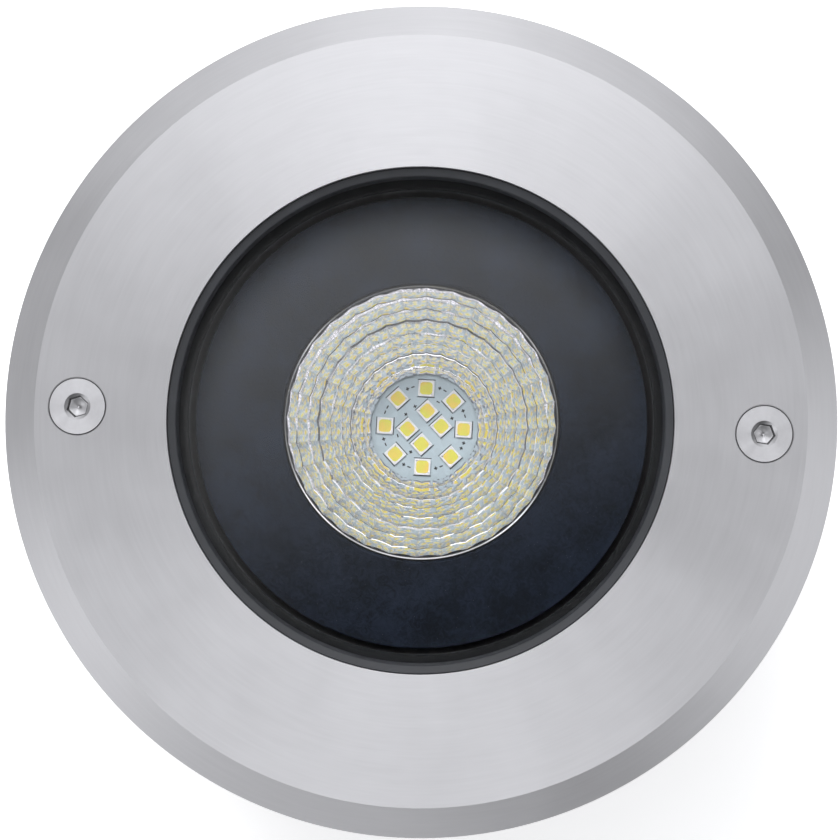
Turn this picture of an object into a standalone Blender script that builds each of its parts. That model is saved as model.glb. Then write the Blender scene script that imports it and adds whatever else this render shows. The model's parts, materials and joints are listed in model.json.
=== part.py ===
"""Recessed ground light: a steel face ring, glass and finned lamp housing that lift out of a buried sleeve.

Metres, +Z up. The origin is the middle of the sleeve's base. The luminaire is modelled with its own
zero at ground level and hangs from an empty at that height; the face screws have empties of their own.
"""

import math

import bmesh
import bpy
from mathutils import Matrix, Vector

# Clearances and mesh settings
GAP = 0.0003
OVERRUN = 0.001
MERGE = 0.00001
ROUND_LARGE = 72
ROUND_MEDIUM = 48
ROUND_SMALL = 24
ROUND_TINY = 12
ROUND_HOLE = 8
SHARP_ANGLE = math.radians(35)

# Light source
LED_SIZE = 0.0036
LED_HEIGHT = 0.0008
LED_BEVEL = 0.0003
LED_PAIR_SPACE = 0.00105
LED_GROUP_SPACE = 0.00236
LED_RING_SPACE = 0.00067
LED_RING_COUNT = 8
CLUSTER_TURN = math.radians(-0.55)
BOARD_THICKNESS = 0.0016
BOARD_EDGE = 0.00425
WINDOW_MARGIN = 0.0015

# Reflector
REFLECTOR_COLUMNS = 32
REFLECTOR_REACH = 0.0171
REFLECTOR_DEPTH = 0.034
REFLECTOR_WALL = 0.0010
REFLECTOR_FLANGE = 0.0015
REFLECTOR_FLANGE_THICKNESS = 0.0012
REFLECTOR_RIM_SUNK = 0.0004
TIER_ROW_SHARES = ((1.0, 0.883, 0.749, 0.62), (0.60, 0.48, 0.351, 0.234), (0.216, 0.082, 0.0))

# Black trim plate round the reflector
PLATE_THICKNESS = 0.0025
PLATE_DROP = 0.0020
PLATE_PILLAR_RADIUS = 0.0035
PLATE_PILLAR_SPACE = 0.0006
PLATE_GAP = 0.0012
PLATE_PILLAR_TURN = math.radians(90)
PLATE_PILLAR_COUNT = 3

# Glass and its rubber gasket
GLASS_THICKNESS = 0.008
GLASS_COVER = 0.0031
GLASS_EDGE_BEVEL = 0.0008
SEAT_WIDTH = 0.0071
GASKET_WALL = 0.0018
GASKET_LEG = 0.0009
GASKET_BEAD_RISE = 0.0018
GASKET_BEAD_WIDTH = 0.0021
GASKET_BEAD_SPACE = 0.0003

# Face ring
RING_HEIGHT = 0.005
RING_RIM_HEIGHT = 0.002
RING_CHAMFER_WIDTH = 0.0063
RING_LIP_THICKNESS = 0.003
RING_RECESS = 0.0015
RING_FOOT_WIDTH = 0.0070
RING_PILLAR_RADIUS = 0.0035
RING_PILLAR_SPACE = 0.0004
RING_PILLAR_COUNT = 6
RING_PILLAR_TURN = math.radians(30)

# Lamp housing
HOUSING_FLANGE_THICKNESS = 0.004
HOUSING_WALL = 0.0029
LEDGE_MARGIN = 0.0025
LEDGE_DEPTH = 0.010
CHAMBER_ROOM = 0.009
CHAMBER_WALL = 0.004
HOUSING_FLOOR = 0.006
FIN_COUNT = 24
FIN_THICKNESS = 0.0020
FIN_TOP_DROP = 0.009
FIN_INSET = 0.0040
LIFT_CLEARANCE = 0.0005

# Heat spreader
SPREADER_THICKNESS = 0.005
SPREADER_FIT = 0.0003
WIRE_HOLE_MARGIN = 0.0005
WIRE_HOLE_ANGLE = math.radians(150)

# Driver and terminal block in the lower chamber
DRIVER_LENGTH = 0.054
DRIVER_WIDTH = 0.026
DRIVER_HEIGHT = 0.018
DRIVER_SPACE = 0.003
DRIVER_MARGIN = 0.001
DRIVER_EAR = 0.006
DRIVER_EAR_THICKNESS = 0.002
TERMINAL_LENGTH = 0.020
TERMINAL_WIDTH = 0.011
TERMINAL_HEIGHT = 0.012
TERMINAL_SPACE = 0.0165
TERMINAL_BORE_RADIUS = 0.0015
TERMINAL_POLE_SPACING = 0.011

# Cable gland and vent
GLAND_BORE_RADIUS = 0.008
GLAND_ACROSS_FLATS = 0.022
GLAND_FLANGE_HEIGHT = 0.005
GLAND_BARREL_WALL = 0.002
GLAND_BARREL_HEIGHT = 0.009
GLAND_WASHER_HEIGHT = 0.0015
GLAND_WASHER_WIDTH = 0.0025
GLAND_SEAL_WALL = 0.0022
GLAND_SEAL_HEIGHT = 0.0085
GLAND_CABLE_RADIUS = 0.0040
GLAND_NUT_END = 0.003
VENT_BORE_RADIUS = 0.006
VENT_HEAD_RADIUS = 0.0078
VENT_HEAD_HEIGHT = 0.004
VENT_SPACE = 0.0015

# Fasteners: shank radius, head radius, head height and hexagon key size across flats
SCREW_M4_RADIUS = 0.0020
SCREW_M4_HEAD_RADIUS = 0.0035
SCREW_M4_HEAD_HEIGHT = 0.0028
SCREW_M4_KEY = 0.0025
SCREW_M3_RADIUS = 0.0015
SCREW_M3_HEAD_RADIUS = 0.00275
SCREW_M3_HEAD_HEIGHT = 0.0020
SCREW_M3_KEY = 0.0020
KEY_DEPTH_SHARE = 0.55
THREAD_GRIP_M4 = 0.005
THREAD_GRIP_M3 = 0.003
PLATE_THREAD_GRIP = 0.007
BOARD_SCREW_SPACE = 0.0019

# Face screws, their inserts and retaining washers
FACE_SCREW_RADIUS = 0.003
FACE_SCREW_LENGTH = 0.030
FACE_HEAD_RADIUS = 0.0059
FACE_HEAD_EDGE = 0.0001
FACE_HEAD_SUNK = 0.0001
FACE_KEY = 0.0040
FACE_KEY_DEPTH = 0.0022
FACE_KEY_CHAMFER = 0.0008
FACE_SCREW_TRAVEL = 0.0135
RETAINER_WIDTH = 0.0009
RETAINER_THICKNESS = 0.0012
INSERT_WALL = 0.0008
INSERT_LENGTH = 0.011

# Sleeve
SLEEVE_WALL = 0.003
SLEEVE_BASE = 0.004
SLEEVE_FLANGE_REACH = 0.0015
SLEEVE_FLANGE_THICKNESS = 0.003
SLEEVE_FIT = 0.001
BOSS_WALL = 0.001
BOSS_INSET = 0.003
BOSS_END = 0.002
WIRING_SPACE = 0.030
RIB_COUNT = 8
RIB_REACH = 0.004
RIB_THICKNESS = 0.0025
RIB_MARGIN = 0.012
BAND_HEIGHT = 0.003
CONDUIT_RADIUS = 0.0125
CONDUIT_WALL = 0.002
CONDUIT_REACH = 0.007
CONDUIT_RISE = 0.0025
DRAIN_RADIUS = 0.014
DRAIN_HOLE_RADIUS = 0.004
DRAIN_HOLE_COUNT = 4
PLUG_FLANGE = 0.002
PLUG_LENGTH = 0.008
PLUG_HOLLOW = 0.006

# Leads
LEAD_RADIUS = 0.0008
LEAD_SPACE = 0.0008
LEAD_PAD_INSET = 0.0022
LEAD_STEPS = 3

# Radii, worked out from the light source outwards
PAIR_STEP = LED_SIZE + LED_PAIR_SPACE
GROUP_STEP = LED_SIZE + LED_GROUP_SPACE
LED_CORNER = math.hypot(LED_SIZE, LED_SIZE) / 2
LED_RING_RADIUS = math.hypot(PAIR_STEP, GROUP_STEP) / 2 + LED_CORNER + LED_RING_SPACE + LED_SIZE / 2
WINDOW_RADIUS = LED_RING_RADIUS + LED_SIZE / 2 + WINDOW_MARGIN
RIM_RADIUS = WINDOW_RADIUS + REFLECTOR_REACH
REFLECTOR_FLANGE_RADIUS = RIM_RADIUS + REFLECTOR_WALL + REFLECTOR_FLANGE
PLATE_PILLAR_CIRCLE = REFLECTOR_FLANGE_RADIUS + PLATE_PILLAR_SPACE + PLATE_PILLAR_RADIUS
DRIVER_CENTRE_Y = (DRIVER_SPACE + DRIVER_WIDTH) / 2
DRIVER_CORNER = math.hypot(DRIVER_LENGTH / 2, DRIVER_CENTRE_Y + DRIVER_WIDTH / 2)
DRIVER_EAR_CORNER = math.hypot(DRIVER_LENGTH / 2 + DRIVER_EAR, DRIVER_CENTRE_Y + DRIVER_EAR / 2)
TERMINAL_CORNER = math.hypot(TERMINAL_SPACE + TERMINAL_WIDTH, DRIVER_SPACE + TERMINAL_LENGTH)
CHAMBER_CONTENTS = max(DRIVER_CORNER, DRIVER_EAR_CORNER, TERMINAL_CORNER) + DRIVER_MARGIN
PLATE_PILLAR_REACH = PLATE_PILLAR_CIRCLE + max(PLATE_PILLAR_RADIUS, SCREW_M3_HEAD_RADIUS) + PLATE_PILLAR_SPACE
CHAMBER_RADIUS = max(PLATE_PILLAR_REACH, CHAMBER_CONTENTS)
BORE_RADIUS = CHAMBER_RADIUS + SCREW_M4_HEAD_RADIUS * 2 + LEDGE_MARGIN
PLATE_RADIUS = BORE_RADIUS - PLATE_GAP
SPREADER_RADIUS = BORE_RADIUS - SPREADER_FIT
GLASS_RADIUS = BORE_RADIUS + SEAT_WIDTH
OPENING_RADIUS = GLASS_RADIUS - GLASS_COVER
GASKET_RADIUS = GLASS_RADIUS + GAP + GASKET_WALL
RING_PILLAR_CIRCLE = GASKET_RADIUS + RING_PILLAR_SPACE + RING_PILLAR_RADIUS
HOUSING_FLANGE_RADIUS = RING_PILLAR_CIRCLE + max(RING_PILLAR_RADIUS, SCREW_M4_HEAD_RADIUS)
RETAINER_RADIUS = FACE_SCREW_RADIUS + GAP + RETAINER_WIDTH
INSERT_RADIUS = FACE_SCREW_RADIUS + GAP + INSERT_WALL
BOSS_RADIUS = max(RETAINER_RADIUS, INSERT_RADIUS) + GAP + BOSS_WALL
BOSS_CIRCLE = HOUSING_FLANGE_RADIUS + LIFT_CLEARANCE + BOSS_RADIUS
SLEEVE_BORE_RADIUS = BOSS_CIRCLE + BOSS_INSET
SLEEVE_RADIUS = SLEEVE_BORE_RADIUS + SLEEVE_WALL
SLEEVE_FLANGE_RADIUS = SLEEVE_RADIUS + SLEEVE_FLANGE_REACH
RECESS_RADIUS = SLEEVE_FLANGE_RADIUS + SLEEVE_FIT
RING_RADIUS = RECESS_RADIUS + RING_FOOT_WIDTH
BOARD_SCREW_CIRCLE = WINDOW_RADIUS + REFLECTOR_WALL + BOARD_SCREW_SPACE + SCREW_M3_HEAD_RADIUS
BOARD_RADIUS = BOARD_SCREW_CIRCLE + BOARD_EDGE
SPREADER_SCREW_CIRCLE = (CHAMBER_RADIUS + BORE_RADIUS) / 2
GLAND_SEAL_RADIUS = GLAND_CABLE_RADIUS + GLAND_SEAL_WALL
GLAND_BARREL_RADIUS = GLAND_SEAL_RADIUS + GAP + GLAND_BARREL_WALL
GLAND_CORNER = GLAND_ACROSS_FLATS / 2 / math.cos(math.tau / 12)
LEAD_SPACING = LEAD_RADIUS * 2 + LEAD_SPACE
WIRE_HOLE_RADIUS = LEAD_SPACING / 2 + LEAD_RADIUS + WIRE_HOLE_MARGIN

# Heights above ground level, worked out from the ring's top downwards
GLASS_TOP = RING_HEIGHT - RING_LIP_THICKNESS - GAP - GASKET_LEG - GAP
GLASS_BOTTOM = GLASS_TOP - GLASS_THICKNESS
FLANGE_TOP = GLASS_BOTTOM - GAP - GASKET_LEG - GAP
FLANGE_BOTTOM = FLANGE_TOP - HOUSING_FLANGE_THICKNESS
PLATE_TOP = FLANGE_TOP - PLATE_DROP
PLATE_BOTTOM = PLATE_TOP - PLATE_THICKNESS
RIM_TOP = PLATE_TOP - REFLECTOR_RIM_SUNK
WINDOW_HEIGHT = RIM_TOP - REFLECTOR_DEPTH
BOARD_TOP = WINDOW_HEIGHT - LED_HEIGHT - GAP
BOARD_BOTTOM = BOARD_TOP - BOARD_THICKNESS
SPREADER_TOP = BOARD_BOTTOM - GAP
SPREADER_BOTTOM = SPREADER_TOP - SPREADER_THICKNESS
LEDGE_TOP = SPREADER_BOTTOM - GAP
FLOOR_TOP = LEDGE_TOP - DRIVER_HEIGHT - CHAMBER_ROOM
HOUSING_BOTTOM = FLOOR_TOP - HOUSING_FLOOR
GLAND_FLANGE_TOP = HOUSING_BOTTOM - GAP - GLAND_WASHER_HEIGHT - GAP
GLAND_BARREL_TOP = GLAND_FLANGE_TOP - GLAND_FLANGE_HEIGHT
GLAND_BARREL_BOTTOM = GLAND_BARREL_TOP - GLAND_BARREL_HEIGHT
GLAND_BOTTOM = GLAND_BARREL_BOTTOM - GAP - GLAND_NUT_END
GROUND_HEIGHT = SLEEVE_BASE + WIRING_SPACE - GLAND_BOTTOM
SLEEVE_TOP = GROUND_HEIGHT + RING_RECESS - GAP
RETAINER_TOP = RING_RECESS - GAP - FACE_SCREW_TRAVEL
RETAINER_BOTTOM = RETAINER_TOP - RETAINER_THICKNESS
COUNTERBORE_FLOOR = RETAINER_BOTTOM - GAP
INSERT_TOP = COUNTERBORE_FLOOR
INSERT_BOTTOM = INSERT_TOP - INSERT_LENGTH
FACE_SCREW_END = RING_HEIGHT - FACE_HEAD_SUNK - FACE_SCREW_LENGTH

# Lengths of the screws under their heads
FLANGE_SCREW_LENGTH = HOUSING_FLANGE_THICKNESS + THREAD_GRIP_M4
SPREADER_SCREW_LENGTH = SPREADER_THICKNESS + THREAD_GRIP_M4
PLATE_SCREW_LENGTH = SPREADER_THICKNESS + PLATE_THREAD_GRIP
BOARD_SCREW_LENGTH = BOARD_THICKNESS + THREAD_GRIP_M3
DRIVER_SCREW_LENGTH = DRIVER_EAR_THICKNESS + THREAD_GRIP_M3
TERMINAL_SCREW_LENGTH = TERMINAL_HEIGHT + THREAD_GRIP_M3

# Plan positions of what stands in the lower chamber, and the height of the cable entries
GLAND_CENTRE_Y = -(CHAMBER_RADIUS - DRIVER_SPACE - GLAND_ACROSS_FLATS / 2 - CHAMBER_WALL / 2)
TERMINAL_CENTRE_X = TERMINAL_SPACE + TERMINAL_WIDTH / 2
TERMINAL_CENTRE_Y = -DRIVER_SPACE - TERMINAL_LENGTH / 2
VENT_CENTRE_X = -(GLAND_CORNER + VENT_HEAD_RADIUS + VENT_SPACE)
CONDUIT_HEIGHT = SLEEVE_BASE + CONDUIT_RISE + CONDUIT_WALL + CONDUIT_RADIUS


def clear_scene():
    """Removes what is in the file before the light is built."""
    for thing in list(bpy.data.objects):
        bpy.data.objects.remove(thing, do_unlink=True)


def finish(name, colour, roughness, metallic):
    """A plain material with the piece's colour and surface."""
    material = bpy.data.materials.new(name)
    material.use_nodes = True
    shader = material.node_tree.nodes["Principled BSDF"]
    shader.inputs["Base Color"].default_value = (*colour, 1.0)
    shader.inputs["Roughness"].default_value = roughness
    shader.inputs["Metallic"].default_value = metallic
    return material


def holder(name, place, parent=None):
    """An empty on a joint's axis, which carries the pieces that move with it."""
    empty = bpy.data.objects.new(name, None)
    empty.location = place
    empty.parent = parent
    bpy.context.scene.collection.objects.link(empty)
    return empty


def edge_distance(angle, radius, sides):
    """Distance from the axis to a round outline, or to a polygon of that half width across its flats."""
    if sides == 0:
        return radius
    sector = math.tau / sides
    return radius / math.cos((angle + sector / 2) % sector - sector / 2)


def stacked(rings, segments, hollow=False):
    """A solid of bands between rings of (radius, height, sides).

    Its first and last rings are capped, or joined to each other where the solid is hollow.
    """
    shape = bmesh.new()
    bmesh.ops.create_circle(shape, segments=segments, radius=1)
    edges = shape.edges[:]
    loops = []
    outline = list(rings)
    if hollow:
        outline.append(outline[0])
    for index, (radius, height, sides) in enumerate(outline):
        if index:
            made = bmesh.ops.extrude_edge_only(shape, edges=edges)["geom"]
            edges = [item for item in made if isinstance(item, bmesh.types.BMEdge)]
        verts = {vert for edge in edges for vert in edge.verts}
        for vert in verts:
            angle = math.atan2(vert.co.y, vert.co.x)
            reach = edge_distance(angle, radius, sides)
            vert.co = (reach * math.cos(angle), reach * math.sin(angle), height)
        loops.append(edges)
    if hollow:
        bmesh.ops.remove_doubles(shape, verts=shape.verts, dist=MERGE)
    else:
        bmesh.ops.contextual_create(shape, geom=loops[0])
        bmesh.ops.contextual_create(shape, geom=loops[-1])
    bmesh.ops.recalc_face_normals(shape, faces=shape.faces)
    return shape


def rod(radius, low, high, segments=ROUND_SMALL):
    """An upright cylinder between two heights."""
    return stacked([(radius, low, 0), (radius, high, 0)], segments)


def block(low, high):
    """A box between two corners."""
    shape = bmesh.new()
    bmesh.ops.create_cube(shape, size=1)
    middle = (Vector(low) + Vector(high)) / 2
    extent = Vector(high) - Vector(low)
    bmesh.ops.scale(shape, vec=extent, verts=shape.verts)
    bmesh.ops.translate(shape, vec=middle, verts=shape.verts)
    return shape


def gathered(shapes):
    """Several shapes in one mesh, as separate bodies."""
    together = bmesh.new()
    for shape in shapes:
        mesh = bpy.data.meshes.new("gathered")
        shape.to_mesh(mesh)
        together.from_mesh(mesh)
        shape.free()
        bpy.data.meshes.remove(mesh)
    return together


def moved(shape, matrix):
    """The shape after a move or a turn."""
    bmesh.ops.transform(shape, matrix=matrix, verts=shape.verts)
    return shape


def on_circle(radius, count, turn=0.0):
    """Moves to places at equal angles on a circle, each turned to face outwards."""
    steps = [turn + math.tau * index / count for index in range(count)]
    return [Matrix.Rotation(angle, 4, "Z") @ Matrix.Translation((radius, 0, 0)) for angle in steps]


def piece(name, shape, material, parent=None, place=(0, 0, 0)):
    """Makes a shape into a named object with its material, round faces shaded smooth."""
    mesh = bpy.data.meshes.new(name)
    shape.to_mesh(mesh)
    shape.free()
    mesh.shade_smooth()
    mesh.set_sharp_from_angle(angle=SHARP_ANGLE)
    mesh.materials.append(material)
    thing = bpy.data.objects.new(name, mesh)
    thing.location = place
    thing.parent = parent
    bpy.context.scene.collection.objects.link(thing)
    return thing


def shaped_by(thing, shape, operation):
    """Adds to a piece, or cuts from it, with a hidden guide in the piece's own place."""
    mesh = bpy.data.meshes.new(thing.name + "_guide")
    shape.to_mesh(mesh)
    shape.free()
    guide = bpy.data.objects.new(thing.name + "_guide", mesh)
    guide.location = thing.location
    guide.parent = thing.parent
    guide.hide_render = True
    guide.display_type = "WIRE"
    bpy.context.scene.collection.objects.link(guide)
    modifier = thing.modifiers.new(operation.lower(), "BOOLEAN")
    modifier.operation = operation
    modifier.solver = "EXACT"
    modifier.object = guide


def cap_screw(shank, head, height, key, length):
    """A cylinder-head screw, its head's underside at zero and its hexagon socket facing +Z."""
    depth = height * KEY_DEPTH_SHARE
    rings = [
        (shank, -length, 0),
        (shank, 0, 0),
        (head, 0, 0),
        (head, height, 0),
        (key / 2, height, 6),
        (key / 2, height - depth, 6),
    ]
    return stacked(rings, ROUND_TINY)


def screw_m4(length):
    """An M4 cap screw."""
    return cap_screw(SCREW_M4_RADIUS, SCREW_M4_HEAD_RADIUS, SCREW_M4_HEAD_HEIGHT, SCREW_M4_KEY, length)


def screw_m3(length):
    """An M3 cap screw."""
    return cap_screw(SCREW_M3_RADIUS, SCREW_M3_HEAD_RADIUS, SCREW_M3_HEAD_HEIGHT, SCREW_M3_KEY, length)


def conduit_places():
    """Turns that lay an upright shape along the cable entries, out of the front and the back."""
    half_step = Matrix.Rotation(math.tau / ROUND_SMALL / 2, 4, "Z")
    lift = Matrix.Translation((0, 0, CONDUIT_HEIGHT))
    return [lift @ Matrix.Rotation(turn, 4, "X") @ half_step for turn in (-math.tau / 4, math.tau / 4)]


def build_sleeve(material):
    """The pot that stays in the ground: flange, ribs, screw bosses, cable entries and drains."""
    flange_bottom = SLEEVE_TOP - SLEEVE_FLANGE_THICKNESS
    outside = [
        (SLEEVE_RADIUS, 0, 0),
        (SLEEVE_RADIUS, flange_bottom, 0),
        (SLEEVE_FLANGE_RADIUS, flange_bottom, 0),
        (SLEEVE_FLANGE_RADIUS, SLEEVE_TOP, 0),
    ]
    sleeve = piece("sleeve", stacked(outside, ROUND_MEDIUM), material)
    rib_high = flange_bottom - RIB_MARGIN
    rib = block((-SLEEVE_WALL / 2, -RIB_THICKNESS / 2, RIB_MARGIN), (RIB_REACH, RIB_THICKNESS / 2, rib_high))
    ribs = []
    for place in on_circle(SLEEVE_RADIUS, RIB_COUNT, math.tau / RIB_COUNT / 2):
        ribs.append(moved(rib.copy(), place))
    rib.free()
    shaped_by(sleeve, gathered(ribs), "UNION")
    band_middle = (RIB_MARGIN + rib_high) / 2
    band_reach = SLEEVE_RADIUS + RIB_REACH / 2
    band = [(SLEEVE_RADIUS - SLEEVE_WALL / 2, band_middle, 0), (band_reach, band_middle, 0)]
    band += [(band_reach, band_middle + BAND_HEIGHT, 0), (band[0][0], band_middle + BAND_HEIGHT, 0)]
    shaped_by(sleeve, stacked(band, ROUND_MEDIUM, hollow=True), "UNION")
    spigots = []
    for place in conduit_places():
        start = SLEEVE_BORE_RADIUS - CONDUIT_RADIUS
        spigots.append(moved(rod(CONDUIT_RADIUS + CONDUIT_WALL, start, SLEEVE_RADIUS + CONDUIT_REACH), place))
    shaped_by(sleeve, gathered(spigots), "UNION")
    inside = rod(SLEEVE_BORE_RADIUS, SLEEVE_BASE, SLEEVE_TOP + OVERRUN, ROUND_MEDIUM)
    shaped_by(sleeve, inside, "DIFFERENCE")
    hole_bottom = GROUND_HEIGHT + min(FACE_SCREW_END, INSERT_BOTTOM - OVERRUN) - GAP
    boss_low = hole_bottom - BOSS_END
    boss_high = SLEEVE_TOP - GAP
    bosses = [moved(rod(BOSS_RADIUS, boss_low, boss_high), place) for place in on_circle(BOSS_CIRCLE, 2)]
    shaped_by(sleeve, gathered(bosses), "UNION")
    cuts = []
    for place in on_circle(BOSS_CIRCLE, 2):
        hole = [
            (FACE_SCREW_RADIUS + GAP, hole_bottom, 0),
            (FACE_SCREW_RADIUS + GAP, GROUND_HEIGHT + INSERT_BOTTOM - GAP, 0),
            (INSERT_RADIUS + GAP, GROUND_HEIGHT + INSERT_BOTTOM - GAP, 0),
            (INSERT_RADIUS + GAP, GROUND_HEIGHT + COUNTERBORE_FLOOR, 0),
            (RETAINER_RADIUS + GAP, GROUND_HEIGHT + COUNTERBORE_FLOOR, 0),
            (RETAINER_RADIUS + GAP, SLEEVE_TOP + OVERRUN, 0),
        ]
        cuts.append(moved(stacked(hole, ROUND_SMALL), place))
    for place in conduit_places():
        start = SLEEVE_BORE_RADIUS - CONDUIT_RADIUS
        cuts.append(moved(rod(CONDUIT_RADIUS, start, SLEEVE_RADIUS + CONDUIT_REACH + OVERRUN), place))
    cuts.append(rod(DRAIN_RADIUS, -OVERRUN, SLEEVE_BASE + OVERRUN))
    drain_circle = (DRAIN_RADIUS + SLEEVE_BORE_RADIUS) / 2
    for place in on_circle(drain_circle, DRAIN_HOLE_COUNT, math.tau / DRAIN_HOLE_COUNT / 2):
        cuts.append(moved(rod(DRAIN_HOLE_RADIUS, -OVERRUN, SLEEVE_BASE + OVERRUN, ROUND_HOLE), place))
    shaped_by(sleeve, gathered(cuts), "DIFFERENCE")


def build_inserts(material):
    """Threaded brass inserts that the face screws pull on."""
    for side, place in zip(("right", "left"), on_circle(BOSS_CIRCLE, 2)):
        rings = [
            (INSERT_RADIUS, INSERT_BOTTOM, 0),
            (INSERT_RADIUS, INSERT_TOP, 0),
            (FACE_SCREW_RADIUS + GAP, INSERT_TOP, 0),
            (FACE_SCREW_RADIUS + GAP, INSERT_BOTTOM, 0),
        ]
        shape = moved(stacked(rings, ROUND_SMALL, hollow=True), place)
        piece("insert_" + side, shape, material, place=(0, 0, GROUND_HEIGHT))


def build_blanking_plug(material):
    """The cap that closes the cable entry which is not in use."""
    cap_radius = CONDUIT_RADIUS + CONDUIT_WALL
    start = SLEEVE_RADIUS + CONDUIT_REACH + GAP
    rings = [
        (CONDUIT_RADIUS - GAP, start - PLUG_LENGTH, 0),
        (CONDUIT_RADIUS - GAP, start, 0),
        (cap_radius, start, 0),
        (cap_radius, start + PLUG_FLANGE, 0),
        (CONDUIT_RADIUS - CONDUIT_WALL, start + PLUG_FLANGE, 0),
        (CONDUIT_RADIUS - CONDUIT_WALL, start + PLUG_FLANGE - PLUG_HOLLOW, 0),
    ]
    piece("blanking_plug", moved(stacked(rings, ROUND_SMALL), conduit_places()[1]), material)


def build_face_ring(material, luminaire):
    """The steel ring: chamfered top, recessed underside, countersunk holes and threaded pillars."""
    lip_bottom = RING_HEIGHT - RING_LIP_THICKNESS
    lip_reach = GASKET_RADIUS + GAP
    rings = [
        (OPENING_RADIUS, lip_bottom, 0),
        (lip_reach, lip_bottom, 0),
        (lip_reach, RING_RECESS, 0),
        (RECESS_RADIUS, RING_RECESS, 0),
        (RECESS_RADIUS, 0, 0),
        (RING_RADIUS, 0, 0),
        (RING_RADIUS, RING_RIM_HEIGHT, 0),
        (RING_RADIUS - RING_CHAMFER_WIDTH, RING_HEIGHT, 0),
        (OPENING_RADIUS, RING_HEIGHT, 0),
    ]
    ring = piece("face_ring", stacked(rings, ROUND_LARGE, hollow=True), material, luminaire)
    pillar_foot = FLANGE_TOP + GAP
    pillars = []
    for place in on_circle(RING_PILLAR_CIRCLE, RING_PILLAR_COUNT, RING_PILLAR_TURN):
        pillar = rod(RING_PILLAR_RADIUS, pillar_foot, RING_RECESS + OVERRUN, ROUND_TINY)
        pillars.append(moved(pillar, place))
    shaped_by(ring, gathered(pillars), "UNION")
    cuts = []
    thread_top = FLANGE_BOTTOM + FLANGE_SCREW_LENGTH + GAP
    for place in on_circle(RING_PILLAR_CIRCLE, RING_PILLAR_COUNT, RING_PILLAR_TURN):
        cuts.append(moved(rod(SCREW_M4_RADIUS + GAP, pillar_foot - OVERRUN, thread_top, ROUND_HOLE), place))
    slope_gap = math.hypot(GAP, GAP)
    cone_top = FACE_HEAD_RADIUS + FACE_HEAD_EDGE + FACE_HEAD_SUNK + slope_gap
    cone_bottom = FACE_SCREW_RADIUS + GAP
    cone_foot = RING_HEIGHT - cone_top + cone_bottom
    for place in on_circle(BOSS_CIRCLE, 2):
        hole = [
            (cone_bottom, min(RING_RECESS, cone_foot) - OVERRUN, 0),
            (cone_bottom, cone_foot, 0),
            (cone_top + OVERRUN, RING_HEIGHT + OVERRUN, 0),
        ]
        cuts.append(moved(stacked(hole, ROUND_SMALL), place))
    shaped_by(ring, gathered(cuts), "DIFFERENCE")


def build_glass(material, luminaire):
    """The thick toughened cover glass with a ground edge."""
    rings = [
        (GLASS_RADIUS - GLASS_EDGE_BEVEL, GLASS_BOTTOM, 0),
        (GLASS_RADIUS, GLASS_BOTTOM + GLASS_EDGE_BEVEL, 0),
        (GLASS_RADIUS, GLASS_TOP - GLASS_EDGE_BEVEL, 0),
        (GLASS_RADIUS - GLASS_EDGE_BEVEL, GLASS_TOP, 0),
    ]
    piece("glass", stacked(rings, ROUND_MEDIUM), material, luminaire)


def build_gasket(material, luminaire):
    """The channel-shaped rubber gasket, with the bead that shows inside the face ring."""
    leg_top = GLASS_TOP + GAP + GASKET_LEG
    leg_bottom = GLASS_BOTTOM - GAP - GASKET_LEG
    bead_out = OPENING_RADIUS - GASKET_BEAD_SPACE
    bead_in = bead_out - GASKET_BEAD_WIDTH
    bead_top = leg_top + GASKET_BEAD_RISE
    channel = GLASS_RADIUS + GAP
    rings = [
        (BORE_RADIUS, leg_bottom, 0),
        (GASKET_RADIUS, leg_bottom, 0),
        (GASKET_RADIUS, leg_top, 0),
        (bead_out, leg_top, 0),
        (bead_out, (leg_top + bead_top) / 2, 0),
        ((bead_out + bead_in) / 2, bead_top, 0),
        (bead_in, (leg_top + bead_top) / 2, 0),
        (bead_in - GASKET_BEAD_WIDTH / 4, GLASS_TOP + GAP, 0),
        (channel, GLASS_TOP + GAP, 0),
        (channel, GLASS_BOTTOM - GAP, 0),
        (BORE_RADIUS, GLASS_BOTTOM - GAP, 0),
    ]
    piece("glass_gasket", stacked(rings, ROUND_MEDIUM, hollow=True), material, luminaire)


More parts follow.
